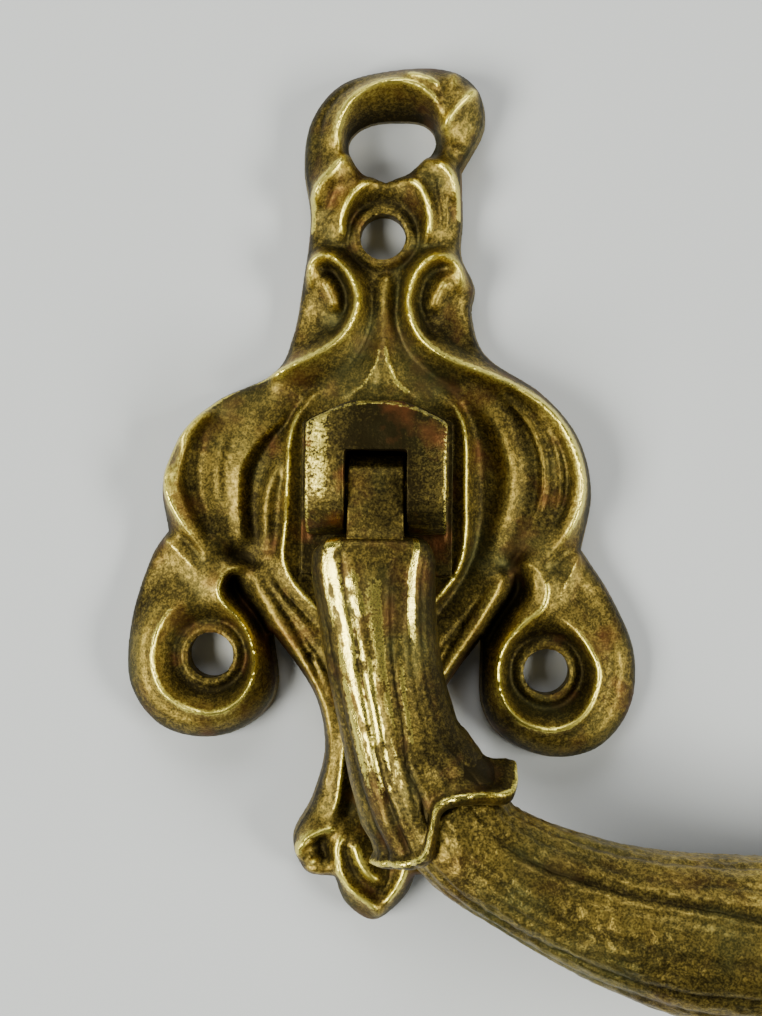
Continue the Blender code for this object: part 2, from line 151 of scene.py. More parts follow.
def finished(work, name, crease=None):
    """The mesh of a bmesh, its faces turned outwards, and smooth but for edges past the crease in degrees."""
    bmesh.ops.recalc_face_normals(work, faces=work.faces)
    mesh = bpy.data.meshes.new(name)
    work.to_mesh(mesh)
    work.free()
    if crease:
        smooth_but_for(mesh, crease)
    return mesh


def smooth_but_for(mesh, crease):
    mesh.shade_smooth()
    mesh.set_sharp_from_angle(angle=math.radians(crease))


def as_evaluated(obj):
    """A mesh of the object as its modifiers leave it."""
    bpy.context.view_layer.update()
    return bpy.data.meshes.new_from_object(obj.evaluated_get(bpy.context.evaluated_depsgraph_get()))


def mark_wear_sheen_and_shade(mesh, wear_and_sheen, patina_and_shade):
    """Stores two attributes that brass() reads: how bright each point is, from rubbing and, on the arm and
    lug, from painted highlight; and how dark, from patina in recesses and painted shade on the arm, tongue
    and lug.
    """
    for key, values in (("wear_and_sheen", wear_and_sheen), ("patina_and_shade", patina_and_shade)):
        layer = mesh.attributes.new(key, "FLOAT", "POINT")
        layer.data.foreach_set("value", values)


def bridge(work, upper, lower):
    """Faces between two rings of vertices."""
    for n in range(len(upper)):
        m = (n + 1) % len(upper)
        work.faces.new((upper[m], upper[n], lower[n], lower[m]))


def fill_between(work, rings):
    """Fills the flat face between rings of vertices: a ring inside another is a hole, and so on inwards."""
    verts = [vert for ring in rings for vert in ring]
    edges = []
    for ring in rings:
        start = len(edges)
        edges += [(start + n, start + (n + 1) % len(ring)) for n in range(len(ring))]
    places = [Vector((vert.co.x, vert.co.z)) for vert in verts]
    keep_inside = 1
    filled, _, faces, origins, *_ = geometry.delaunay_2d_cdt(places, edges, [], keep_inside, 1e-6)
    found = []
    for place, origin in zip(filled, origins):
        found.append(verts[origin[0]] if origin else work.verts.new((place.x, verts[0].co.y, place.y)))
    middles = np.array([[sum(filled[i][k] for i in face) / 3 for k in (0, 1)] for face in faces])
    lines = [np.array([(vert.co.x, vert.co.z) for vert in ring]) for ring in rings]
    solid = sum(inside(middles[:, 0], middles[:, 1], line).astype(int) for line in lines) % 2 == 1
    for face, keep in zip(faces, solid):
        if keep:
            work.faces.new([found[i] for i in face])


# ---- the plate's drawing

OUTLINE = [
    (-8.5, 31.5), (-9.3, 37.5), (-8.6, 43.0), (-5.2, 47.3), (0.5, 49.0), (7.0, 49.2), (10.9, 47.0),
    (11.8, 42.5), (9.2, 37.2), (9.4, 31.5), (9.3, 27.5), (10.9, 23.8), (10.6, 20.5), (12.4, 15.8),
    (18.9, 11.5), (23.2, 6.4), (24.8, 0.0), (23.7, -6.7), (27.3, -12.2), (30.0, -18.6), (29.6, -25.0),
    (26.0, -29.7), (20.5, -31.0), (15.0, -29.0), (12.2, -25.0), (12.0, -17.5), (9.1, -21.4), (6.8, -25.5),
    (6.1, -30.5), (7.4, -36.0), (9.6, -40.5), (8.4, -44.2), (4.8, -45.0), (3.4, -47.8), (0.0, -50.3),
    (-3.4, -48.4), (-4.8, -45.3), (-8.2, -44.6), (-9.7, -40.6), (-7.5, -36.0), (-6.1, -30.5),
    (-6.9, -25.2), (-9.1, -21.2), (-12.2, -17.2), (-11.7, -23.6), (-14.8, -27.6), (-20.0, -29.3),
    (-25.6, -27.8), (-29.1, -22.8), (-29.0, -15.5), (-26.8, -8.2), (-24.8, -5.0), (-25.5, 0.2),
    (-23.6, 5.9), (-19.2, 10.3), (-12.6, 13.6), (-10.4, 18.0), (-9.4, 23.5),
]  # fmt: skip
OUTLINE_CORNERS = {8, 17, 25, 32, 36, 43, 51}
EYE = [
    (-4.1, 40.2), (-3.2, 41.8), (-1.2, 42.8), (1.4, 43.1), (4.2, 42.9), (5.7, 41.9), (6.1, 40.3),
    (5.3, 38.7), (4.2, 37.5), (2.9, 36.4), (1.6, 35.9), (0.4, 35.4), (-0.9, 35.9), (-2.4, 36.5),
    (-3.6, 38.2),
]  # fmt: skip
EYE_CORNERS = {11}
SCREW_HOLES = [(0.1, 29.3), (-19.3, -19.4), (19.6, -20.8)]
HOLE_R = 2.65
SHANK_HOLE_R = 3.6
POCKET = [
    (0.0, 13.0), (-9.5, 10.5), (-17.5, 6.0), (-20.5, -0.5), (-17.5, -6.5), (-9.5, -10.5), (-5.5, -15.5),
    (0.0, -17.0), (5.5, -15.5), (9.5, -10.5), (16.8, -6.5), (19.5, -0.5), (17.0, 6.0), (9.5, 10.5),
]  # fmt: skip
POCKET_DEPTH = 2.6
SEAT = [
    (-9.1, -10.1), (8.8, -10.1), (8.8, 7.6), (7.0, 8.8), (4.5, 9.9), (0.0, 10.5), (-4.7, 9.9), (-7.2, 8.8),
    (-9.1, 7.6),
]  # fmt: skip
SEAT_H = 4.6
EDGE_H = 2.7  # height of the plate's outer edge
DRAFT = 0.35  # how far the foot of the edge stands outside its top
EDGE_ROUND = 0.75
BOSS_R = 4.35  # the turned face round each screw hole

# Crests of the relief: points as (x, z, height), height of the narrow bead on the crest, and its width
CRESTS = [
    # top loop: inner lip, the stroke and the band beside it, and the edge of the leaf that folds over
    ([(-4.8, 39.6, 5.5), (-5.0, 41.4, 6.0), (-4.4, 43.2, 6.1), (-3.4, 44.7, 6.2), (-1.5, 46.0, 6.2),
      (0.9, 46.7, 6.2), (3.0, 46.5, 6.1), (4.7, 45.7, 6.0), (6.1, 44.5, 5.7), (6.5, 43.0, 5.4)], 0.30, 0.49),
    ([(2.6, 47.7, 5.4), (3.8, 47.5, 5.8), (5.4, 46.9, 5.9), (6.6, 46.1, 5.6)], 0.25, 0.43),
    ([(8.2, 48.0, 5.0), (7.9, 46.8, 5.6), (7.4, 45.1, 5.7), (6.9, 43.6, 5.5), (6.6, 41.6, 5.1)], 0.0, 0.5),
    ([(10.9, 46.2, 5.4), (9.7, 44.9, 6.0), (8.5, 43.6, 6.2), (7.6, 42.5, 6.1), (7.0, 41.2, 5.7)], 0.30, 0.41),
    # leaves beside the top screw hole, and the low rim under the eye
    ([(-4.0, 38.6, 5.4), (-4.6, 37.7, 5.8), (-5.9, 36.2, 5.9), (-7.3, 34.8, 5.8), (-8.0, 33.1, 5.5),
      (-8.2, 30.7, 5.0), (-8.2, 28.9, 4.4)], 0.35, 0.61),
    ([(-1.2, 35.7, 5.0), (-2.4, 34.7, 5.5), (-3.5, 33.5, 5.6), (-4.2, 32.1, 5.4), (-4.5, 30.4, 5.0),
      (-4.4, 28.8, 4.4)], 0.32, 0.49),
    ([(2.6, 35.8, 5.0), (4.1, 35.0, 5.5), (5.0, 33.6, 5.6), (5.4, 31.9, 5.4), (5.4, 30.3, 5.0),
      (5.1, 28.8, 4.4)], 0.32, 0.49),
    ([(5.9, 37.9, 5.2), (6.4, 37.5, 5.6), (7.2, 37.0, 5.8), (8.1, 36.0, 5.8), (8.6, 34.7, 5.5),
      (9.0, 32.9, 5.0), (9.0, 30.5, 4.4)], 0.32, 0.54),
    ([(-3.6, 38.0, 4.6), (-3.0, 36.9, 4.6), (-1.4, 36.0, 4.4), (0.4, 35.0, 4.2), (2.2, 36.0, 4.4),
      (3.8, 36.9, 4.6), (5.2, 38.2, 4.9)], 0.0, 0.3),
    # scrolls: from the curl beside the neck, round its head, and out along the wing's edge
    ([(-8.3, 23.4, 4.8), (-8.6, 24.4, 5.6), (-8.4, 25.7, 6.0), (-7.5, 26.5, 6.2), (-6.1, 26.7, 6.3),
      (-4.4, 25.6, 6.3), (-3.2, 23.8, 6.3), (-2.6, 21.9, 6.3), (-3.0, 19.8, 6.2), (-4.4, 17.6, 6.1),
      (-6.9, 15.6, 6.0), (-12.2, 13.2, 5.8), (-16.2, 11.8, 5.7), (-19.4, 9.8, 5.8), (-22.0, 7.2, 5.9),
      (-23.9, 4.6, 6.0), (-24.7, 2.0, 6.1), (-24.3, -0.8, 6.1), (-22.8, -3.6, 5.9), (-20.9, -6.1, 5.5),
      (-19.6, -7.9, 4.9)], 0.35, 0.46),
    ([(9.2, 23.4, 4.8), (9.4, 24.4, 5.6), (9.0, 25.8, 6.0), (7.0, 26.8, 6.2), (4.9, 26.0, 6.3),
      (3.5, 23.8, 6.3), (3.1, 21.2, 6.3), (3.9, 18.6, 6.2), (5.6, 16.5, 6.1), (8.2, 14.9, 6.0),
      (14.2, 12.6, 5.8), (18.4, 10.3, 5.8), (21.0, 7.7, 5.9), (22.7, 4.4, 6.0), (23.4, 1.3, 6.1),
      (23.1, -1.6, 6.0), (22.0, -4.2, 5.8), (20.4, -6.6, 5.3), (19.4, -8.0, 4.9)], 0.35, 0.51),
    # inner edges of the wings' worn rims
    ([(-19.8, 8.8, 5.35), (-22.1, 5.6, 5.5), (-23.0, 2.6, 5.6), (-22.9, 0.0, 5.6), (-21.9, -2.6, 5.5),
      (-20.3, -5.5, 5.1)], 0.0, 0.3),
    ([(20.4, 7.0, 5.5), (21.8, 4.4, 5.6), (22.4, 1.6, 5.7), (22.1, -1.0, 5.6), (21.0, -3.8, 5.3)], 0.0, 0.3),
    # the left wing's vein
    ([(-11.0, 8.2, 4.2), (-13.5, 5.9, 4.4), (-15.3, 3.6, 4.5), (-15.9, 1.7, 4.55), (-16.0, -1.7, 4.4),
      (-15.7, -5.6, 4.2)], 0.10, 0.40),
    # mouldings beside the lug, and the ogee above it
    ([(-7.4, 10.9, 4.9), (-9.3, 8.8, 5.1), (-10.2, 5.6, 5.3), (-10.4, 1.8, 5.3), (-10.6, -4.0, 5.3),
      (-10.9, -7.6, 5.2), (-9.8, -10.4, 5.1), (-7.8, -12.8, 5.0), (-5.2, -15.4, 4.8)], 0.22, 0.38),
    ([(7.2, 10.9, 4.9), (9.1, 8.8, 5.1), (9.9, 5.6, 5.3), (10.0, 0.0, 5.3), (10.0, -5.4, 5.3),
      (9.4, -8.6, 5.2), (7.9, -11.2, 5.1), (5.0, -14.6, 4.8)], 0.22, 0.38),
    ([(0.1, 17.0, 4.9), (-0.5, 14.5, 5.0), (-1.7, 12.2, 5.0), (-3.4, 10.9, 4.9)], 0.12, 0.35),
    ([(0.5, 17.0, 4.9), (1.0, 14.5, 5.0), (2.1, 12.2, 5.0), (3.9, 10.8, 4.9)], 0.20, 0.35),
    ([(0.5, 25.4, 4.0), (0.6, 22.6, 4.3), (0.5, 19.6, 4.4), (0.3, 17.6, 4.8)], 0.0, 0.4),
    # volutes round the lower screw holes, and the roll behind each one's head
    ([(-15.2, -9.3, 4.4), (-16.2, -9.2, 5.0), (-17.3, -9.7, 5.3), (-18.0, -10.7, 5.4),
      (-18.1, -12.2, 5.4), (-17.2, -13.6, 5.3), (-15.8, -15.0, 5.3), (-14.7, -16.8, 5.4),
      (-14.0, -19.2, 5.5), (-14.1, -21.4, 5.5), (-15.0, -23.5, 5.5), (-16.4, -24.9, 5.5),
      (-18.5, -25.8, 5.4), (-21.0, -25.6, 5.4), (-23.1, -24.6, 5.4), (-24.6, -23.3, 5.5),
      (-25.5, -21.2, 5.6), (-25.7, -19.0, 5.6), (-25.2, -16.5, 5.4), (-24.0, -14.4, 5.2),
      (-22.6, -13.1, 5.0), (-21.4, -12.7, 4.5)], 0.28, 0.41),
    ([(16.9, -8.2, 4.5), (18.2, -8.7, 5.2), (19.2, -10.1, 5.4), (19.5, -11.7, 5.4), (18.9, -13.4, 5.3),
      (17.2, -14.8, 5.3), (15.5, -16.4, 5.3), (14.3, -18.3, 5.4), (13.9, -20.4, 5.5), (14.2, -22.8, 5.5),
      (15.2, -24.9, 5.5), (17.3, -26.6, 5.4), (20.1, -27.2, 5.4), (22.5, -26.5, 5.4), (24.2, -24.8, 5.5),
      (25.2, -22.3, 5.6), (25.4, -20.3, 5.5), (24.5, -18.2, 5.3), (23.1, -16.1, 5.1), (21.7, -14.8, 4.9),
      (20.5, -14.1, 4.6)], 0.28, 0.43),
    ([(-18.1, -9.1, 4.8), (-19.3, -10.2, 5.1), (-19.7, -11.8, 5.0), (-19.2, -13.4, 4.6)], 0.0, 0.3),
    ([(17.6, -10.0, 4.9), (18.0, -11.4, 4.9), (17.4, -13.0, 4.8), (15.9, -14.6, 4.7)], 0.0, 0.3),
    ([(-24.8, -5.8, 4.2), (-22.8, -7.6, 4.6), (-20.9, -9.5, 4.7)], 0.12, 0.35),
    ([(23.5, -6.9, 4.2), (22.4, -8.8, 4.6), (21.3, -11.2, 4.6), (20.7, -13.4, 4.5)], 0.10, 0.35),
    # finial: the fold in the middle
    ([(-3.4, -39.0, 4.9), (-3.9, -40.2, 5.1), (-4.3, -41.3, 5.2), (-4.1, -42.8, 5.1), (-3.9, -44.1, 5.0),
      (-3.0, -45.6, 4.9), (-1.5, -46.8, 4.9), (0.1, -48.0, 4.8), (0.7, -48.9, 4.6)], 0.28, 0.49),
    ([(-2.4, -40.4, 4.9), (-2.1, -41.4, 5.1), (-1.5, -42.9, 5.1), (-0.6, -44.1, 5.0),
      (0.7, -45.1, 4.8)], 0.35, 0.81),
    ([(3.8, -41.6, 4.9), (3.6, -43.4, 4.9), (3.0, -45.2, 4.8), (2.0, -46.6, 4.8),
      (1.3, -47.8, 4.6)], 0.28, 0.49),
]  # fmt: skip
# Crests that are the same on both sides, given for the left
PAIRED_CRESTS = [
    # straps that run from the wings into the stem: outer edge, and the line inside it lower down
    ([(-14.3, -9.7, 4.5), (-13.7, -11.6, 4.7), (-12.0, -14.7, 4.8), (-10.1, -17.8, 4.8),
      (-8.3, -20.6, 4.7), (-6.9, -23.4, 4.7), (-5.9, -26.8, 4.7), (-5.4, -30.5, 4.6),
      (-5.9, -34.0, 4.5)], 0.0, 0.3),
    ([(-3.2, -24.4, 4.6), (-3.5, -28.9, 4.8), (-3.9, -32.6, 4.9), (-4.3, -35.8, 4.8),
      (-5.2, -38.0, 4.6)], 0.20, 0.38),
    # finial: the curled side leaf and the roll under it
    ([(-4.2, -38.6, 4.6), (-4.9, -39.0, 5.0), (-6.1, -39.3, 5.2), (-7.6, -39.9, 5.2), (-8.6, -40.9, 5.1),
      (-9.0, -41.9, 4.8), (-8.8, -43.0, 4.5)], 0.32, 0.46),
    ([(-8.0, -43.8, 4.3), (-6.4, -44.4, 4.2), (-5.2, -44.1, 4.2)], 0.0, 0.4),
]  # fmt: skip

# Floors of valleys and dishes, as (x, z, height)
FLOORS = [
    # beside the folded leaf, and inside the leaves
    [(10.7, 44.8, 4.8), (9.4, 43.3, 4.9), (8.3, 41.8, 4.9), (7.6, 40.2, 4.7)],
    [(6.9, 46.9, 4.9), (6.6, 45.4, 4.8)],
    [(-5.6, 34.6, 4.4), (-6.2, 32.6, 3.9), (-6.3, 29.6, 3.7)],
    [(6.2, 35.6, 4.5), (6.7, 32.4, 4.0), (6.9, 29.8, 3.8)],
    # down each side of the neck, and out over the lug's shoulders
    [(-9.0, 27.8, 3.6), (-6.8, 28.4, 3.5), (-4.0, 27.6, 3.4), (-2.2, 26.0, 3.3), (-1.3, 24.0, 3.3),
     (-1.0, 21.4, 3.3), (-1.2, 18.6, 3.5), (-2.6, 15.2, 3.6), (-5.8, 12.9, 3.7), (-8.4, 11.4, 3.8)],
    [(9.2, 28.0, 3.7), (6.9, 28.4, 3.5), (4.4, 27.6, 3.4), (2.9, 26.0, 3.3), (2.2, 24.0, 3.3),
     (1.9, 21.4, 3.3), (2.0, 18.6, 3.5), (3.4, 15.4, 3.6), (6.4, 12.9, 3.7), (9.0, 11.4, 3.8)],
    # scroll heads: beside the crest, and the scoop towards the plate's edge
    [(-7.2, 25.4, 4.2), (-5.9, 25.4, 3.9), (-4.6, 24.1, 3.8), (-3.9, 22.2, 3.7), (-4.2, 20.2, 3.6),
     (-5.5, 18.2, 3.5)],
    [(-7.9, 22.7, 3.9), (-7.0, 21.0, 3.4), (-6.6, 19.2, 3.1), (-7.4, 17.6, 3.2), (-9.4, 16.4, 3.3)],
    [(8.1, 25.6, 4.2), (6.8, 25.7, 3.9), (5.4, 24.7, 3.8), (4.6, 22.6, 3.7), (4.7, 20.4, 3.6),
     (5.9, 18.0, 3.5)],
    [(8.8, 22.6, 3.9), (7.8, 21.0, 3.4), (7.4, 19.2, 3.1), (8.2, 17.5, 3.3), (10.0, 16.0, 3.4)],
    # left wing: under the rim, the field, the valley by the vein, and beside the moulding
    [(-19.3, 8.2, 4.4), (-21.3, 5.2, 4.2), (-22.2, 2.5, 4.1), (-22.1, 0.0, 4.1), (-21.2, -2.4, 4.1),
     (-19.6, -5.2, 4.0)],
    [(-10.5, 11.2, 4.3), (-14.5, 9.0, 4.2), (-17.0, 6.0, 4.1), (-17.9, 2.6, 4.0), (-17.9, -0.8, 3.95),
     (-17.1, -4.6, 3.9)],
    [(-8.6, 9.9, 4.0), (-10.6, 7.6, 3.6), (-12.9, 5.2, 3.2), (-14.6, 1.8, 3.0), (-14.9, -2.2, 3.0),
     (-14.2, -6.0, 3.2)],
    [(-11.0, 4.6, 4.2), (-11.3, 0.0, 4.2), (-11.6, -4.6, 4.1), (-11.9, -7.6, 4.0)],
    # right wing: under the rim, the two grooves, and beside the moulding
    [(19.6, 7.2, 4.5), (21.2, 4.2, 4.4), (21.8, 1.6, 4.4), (21.5, -0.9, 4.4), (20.4, -3.6, 4.2)],
    [(10.4, 12.6, 4.4), (13.2, 11.0, 4.2), (15.8, 7.6, 3.8), (17.1, 5.0, 3.7), (18.0, 1.6, 3.6),
     (17.6, -1.8, 3.6), (16.5, -5.0, 3.6), (15.2, -7.6, 3.3)],
    [(14.6, 11.4, 4.5), (17.4, 8.6, 4.2), (18.9, 5.9, 4.0), (19.9, 2.5, 4.0), (19.8, -0.9, 4.0),
     (18.7, -4.0, 3.9)],
    [(9.6, 9.9, 4.0), (11.2, 6.2, 3.7), (11.7, 2.0, 3.5), (11.8, -2.0, 3.4), (11.4, -6.0, 3.3),
     (10.1, -9.4, 3.2), (8.6, -12.0, 3.4), (6.6, -14.8, 3.8)],
    # where the wings, lobes and straps meet
    [(-23.4, -8.6, 3.9), (-22.6, -11.0, 3.7)],
    [(-22.4, -5.6, 4.3), (-20.7, -7.6, 4.1)],
    [(24.2, -10.4, 3.9), (22.6, -12.4, 3.7)],
    [(21.8, -6.6, 4.3), (20.4, -8.6, 4.1)],
    [(-16.8, -7.6, 2.9), (-15.2, -8.2, 2.7), (-14.2, -8.8, 3.0)],
    [(16.4, -7.2, 2.9), (15.2, -8.2, 2.7), (14.6, -8.9, 3.0)],
    [(-16.6, -10.4, 2.5), (-16.7, -11.8, 2.0), (-15.4, -13.5, 1.8), (-13.8, -15.6, 1.8), (-12.9, -17.4, 1.9)],
    [(16.2, -9.8, 2.6), (16.2, -11.6, 2.0), (14.9, -13.6, 1.8), (13.6, -15.6, 1.8), (12.7, -17.6, 1.9)],
    # finial
    [(-3.1, -41.2, 4.1), (-3.0, -42.8, 3.9), (-2.2, -44.6, 3.8), (-0.8, -45.8, 3.8), (0.6, -46.8, 3.8)],
    [(0.6, -41.0, 3.9), (1.6, -42.8, 3.6), (1.7, -44.8, 3.5), (1.3, -46.2, 3.6)],
]  # fmt: skip
PAIRED_FLOORS = [
    [(-5.0, -29.0, 4.1), (-5.2, -33.0, 4.0), (-6.6, -36.8, 3.8)],
    [(-2.3, -28.0, 3.8), (-2.6, -34.0, 3.6), (-3.2, -37.6, 3.5)],
    [(-5.8, -40.4, 3.5), (-6.4, -41.1, 3.1), (-5.5, -42.6, 3.0)],
]

# Soft ribs (raised) and furrows (sunk): points, height at the middle, width
SWELLS = [
    ([(10.8, 43.0), (9.7, 40.8), (8.9, 38.9)], 0.55, 1.1),
    ([(-7.5, 38.0), (-7.4, 41.2), (-6.5, 43.8), (-4.4, 46.0), (-1.2, 47.4)], -0.28, 0.35),
    ([(6.8, 34.4), (7.4, 32.6), (7.5, 29.6)], 0.5, 0.35),
    ([(-7.3, 24.5), (-6.5, 23.7), (-5.7, 22.2), (-5.1, 20.0)], 1.3, 0.95),
    ([(8.1, 24.6), (7.2, 23.7), (6.4, 22.2), (5.8, 20.0)], 1.3, 0.95),
    ([(-10.9, 4.1), (-12.7, -0.2), (-13.0, -4.0), (-12.7, -7.6)], 0.75, 0.85),
    ([(10.4, 11.0), (12.9, 8.4), (14.8, 3.6), (14.9, -1.0), (13.4, -5.6), (11.9, -9.0)], 1.0, 1.25),
    ([(13.8, 11.4), (17.0, 8.0), (18.5, 4.8), (18.9, 1.6), (18.6, -1.4), (17.6, -4.4)], 0.65, 0.45),
    ([(18.4, 8.6), (20.2, 5.2), (20.9, 2.0), (20.7, -1.2), (19.5, -4.4)], 0.35, 0.4),
    ([(0.2, 15.4), (0.2, 13.2), (0.3, 11.2)], 0.35, 1.1),
    ([(-22.4, -10.0), (-25.6, -13.4), (-27.3, -17.4), (-27.4, -20.8), (-26.2, -24.2), (-23.4, -26.8),
      (-19.6, -27.5), (-15.8, -26.2), (-13.2, -23.2), (-13.0, -19.6)], 0.55, 1.0),
    ([(23.6, -10.0), (26.0, -13.6), (27.8, -17.8), (28.1, -21.4), (27.2, -25.2), (24.6, -28.2),
      (20.6, -29.2), (16.6, -27.9), (13.7, -24.8), (13.1, -20.6)], 0.55, 1.0),
    ([(-12.2, -9.4), (-10.8, -11.8), (-8.9, -13.8), (-6.6, -16.2)], -0.35, 0.32),
    ([(-7.6, -19.2), (-7.5, -19.3)], -0.45, 0.35),
    ([(-20.0, 6.4), (-20.9, 2.8), (-20.8, -0.6), (-19.6, -3.8)], -0.12, 0.4),
    ([(-17.0, 7.4), (-18.2, 4.0), (-18.4, 0.6), (-17.6, -3.4)], 0.12, 0.5),
]  # fmt: skip
PAIRED_SWELLS = [
    ([(-13.2, -10.2), (-11.4, -13.0), (-9.5, -16.0), (-7.4, -19.8), (-5.9, -23.6)], -0.32, 0.34),
    ([(-11.0, -13.2), (-8.8, -16.2), (-6.4, -19.6), (-4.6, -23.0)], -0.28, 0.34),
    ([(-8.3, -41.2), (-7.8, -40.8), (-6.8, -40.5)], 0.4, 0.26),
    ([(-7.1, -42.3), (-6.6, -43.2)], 1.2, 0.65),
]


# ---- plate relief

RELIEF_STEP = 0.16
RELIEF_LOW = (-31.0, -52.0)
RELIEF_HIGH = (32.0, 51.0)
MESH_STEP = 0.205
OUTLINE_STEP = 0.35
SLOPE_REACH = 0.35
EDGE_BAND = 1.2  # the edge's height is set from this far outside it
ON_PLATE = 0.1  # to this far inside it
EYE_MIDDLE = (1.1, 39.8)
EYE_STRETCH = 1.3
EYE_REACH = 5.2
EYE_WALL_H = 1.0
LOW_RIM_TOP = 38.6  # the eye's rim is solid below this
LOW_RIM_H = 3.4
BOSS_H = 3.05
BOSS_RINGS = [(3.15, 0.42, 0.4), (4.0, 0.3, -0.25)]  # radius, width and height of the turned marks
HOLE_LIP = 0.3
MEMBRANE_BLUR = 1.7  # in cells
CAVITY_BLUR = 8.0
SWELL_TAPER = 4  # a line's ends fade over one part in this many
BEAD_TAPER = 8
FULL_BEAD = 0.26  # a bead as high as this is worn to bright metal
SKIN_SCALE = 0.45
SKIN_HEIGHT = 0.05
FOOT_PARTS = (0.12, 0.45, 1.0)  # rows of an edge's wall, as parts of the way down
# The pocket's wall, as (y, how far it has come in), on a pocket about POCKET_R in radius
POCKET_WALL = [(0.0, 0.0), (-0.2, 0.12), (-POCKET_DEPTH + 0.3, 0.3), (-POCKET_DEPTH, 0.7)]
POCKET_R = 15


def plate_distance(x, z):
    """Distance into the plate's material from its nearest edge; negative outside and over a hole."""
    edge = smooth_line(OUTLINE, OUTLINE_STEP, True, OUTLINE_CORNERS)
    far, _ = distance_to_line(x, z, edge, True)
    depth = np.where(inside(x, z, edge), far, -far) - DRAFT
    eye = smooth_line(EYE, 0.3, True, EYE_CORNERS)
    far, _ = distance_to_line(x, z, eye, True)
    depth = np.minimum(depth, np.where(inside(x, z, eye), -far, far))
    for cx, cz in SCREW_HOLES:
        depth = np.minimum(depth, np.hypot(x - cx, z - cz) - HOLE_R)
    return np.minimum(depth, np.hypot(x, z) - SHANK_HOLE_R)


def way_in(x, z, reach):
    """The direction into the plate's material, as the slope of plate_distance over `reach` to each side."""
    into_x = plate_distance(x + reach, z) - plate_distance(x - reach, z)
    into_z = plate_distance(x, z + reach) - plate_distance(x, z - reach)
    return np.stack([into_x, into_z], 1) / (2 * reach)


def relief_grid(step):
    xs = np.arange(RELIEF_LOW[0], RELIEF_HIGH[0], step)
    zs = np.arange(RELIEF_LOW[1], RELIEF_HIGH[1], step)
    return xs, zs, *np.meshgrid(xs, zs, indexing="ij")


def blur(field, sigma):
    """A Gaussian blur, in cells."""
    reach = int(math.ceil(3 * sigma))
    taps = np.exp(-0.5 * (np.arange(-reach, reach + 1) / sigma) ** 2)
    taps /= taps.sum()
    for axis in (0, 1):
        field = np.apply_along_axis(
            lambda line: np.convolve(np.pad(line, reach, mode="edge"), taps, "valid"), axis, field
        )
    return field


def stretch_between(known, height, rounds=160):
    """A membrane through the known heights: coarse grids first, each one the start of the next."""
    if min(known.shape) > 12:
        rows, cols = (size // 2 * 2 for size in known.shape)
        blocks_known = known[:rows, :cols].reshape(rows // 2, 2, cols // 2, 2)
        blocks_height = height[:rows, :cols].reshape(rows // 2, 2, cols // 2, 2)
        weight = blocks_known.sum((1, 3))
        mean = (blocks_known * blocks_height).sum((1, 3)) / np.maximum(weight, 1)
        coarse = stretch_between(weight > 0, mean, rounds)
        start = np.repeat(np.repeat(coarse, 2, 0), 2, 1)
        odd = [(0, whole - even) for whole, even in zip(known.shape, start.shape)]
        start = np.pad(start, odd, mode="edge")
    else:
        start = np.full(known.shape, height[known].mean() if known.any() else EDGE_H)
    field = np.where(known, height, start)
    for _ in range(rounds):
        wide = np.pad(field, 1, mode="edge")
        mean = (wide[:-2, 1:-1] + wide[2:, 1:-1] + wide[1:-1, :-2] + wide[1:-1, 2:]) / 4
        field = np.where(known, height, mean)
    return field


def both_sides(items):
    """The items, each followed by its mirror image in the plate's centre line."""
    out = []
    for item in items:
        points, *rest = item if isinstance(item, tuple) else (item,)
        mirrored = [(-x, *other) for x, *other in points]
        out += [(points, *rest), (mirrored, *rest)]
    return out


def bump_along(xs, zs, x, z, points, width, taper):
    """A Gaussian ridge along a line, as the part of the grid that it touches and its 0..1 height there."""
    line = smooth_line(points, RELIEF_STEP)
    i0, i1 = np.searchsorted(xs, (line[:, 0].min() - 4 * width, line[:, 0].max() + 4 * width))
    j0, j1 = np.searchsorted(zs, (line[:, 1].min() - 4 * width, line[:, 1].max() + 4 * width))
    part = (slice(i0, i1), slice(j0, j1))
    d, where = distance_to_line(x[part], z[part], line)
    along = (where + 0.5) / (len(line) - 1)
    fade = np.clip(np.minimum(along, 1 - along) * taper, 0.2, 1)
    return part, np.exp(-((d / width) ** 2)) * fade


def given_heights(xs, zs, x, z, depth, lines):
    """Where the drawing gives the relief's height, and what it is there: lines, edges, seat and bosses."""
    total = np.zeros(x.shape)
    weight = np.zeros(x.shape)
    for points in lines:
        line = smooth_line(points, RELIEF_STEP / 2)
        cells = tuple(
            np.clip(np.rint((line[:, k] - side[0]) / RELIEF_STEP).astype(int), 0, len(side) - 1)
            for k, side in enumerate((xs, zs))
        )
        np.add.at(total, cells, line[:, 2])
        np.add.at(weight, cells, 1.0)
    height = total / np.maximum(weight, 1)
    edge = (depth < ON_PLATE) & (depth > -EDGE_BAND)
    eye_wall = (np.hypot((x - EYE_MIDDLE[0]) / EYE_STRETCH, z - EYE_MIDDLE[1]) < EYE_REACH) & edge
    low_rim = eye_wall & (z < LOW_RIM_TOP)
    height = np.where(edge, np.where(low_rim, LOW_RIM_H, np.where(eye_wall, EYE_WALL_H, EDGE_H)), height)
    seat = inside(x, z, np.array(SEAT))
    height = np.where(seat, SEAT_H, height)
    known = (weight > 0) & (depth > ON_PLATE) | edge | seat
    for cx, cz in SCREW_HOLES:
        r = np.hypot(x - cx, z - cz)
        turned = BOSS_H + sum(rise * np.exp(-(((r - at) / wide) ** 2)) for at, wide, rise in BOSS_RINGS)
        height = np.where(r < BOSS_R, turned, height)
        known |= r < BOSS_R
    return known, height, seat


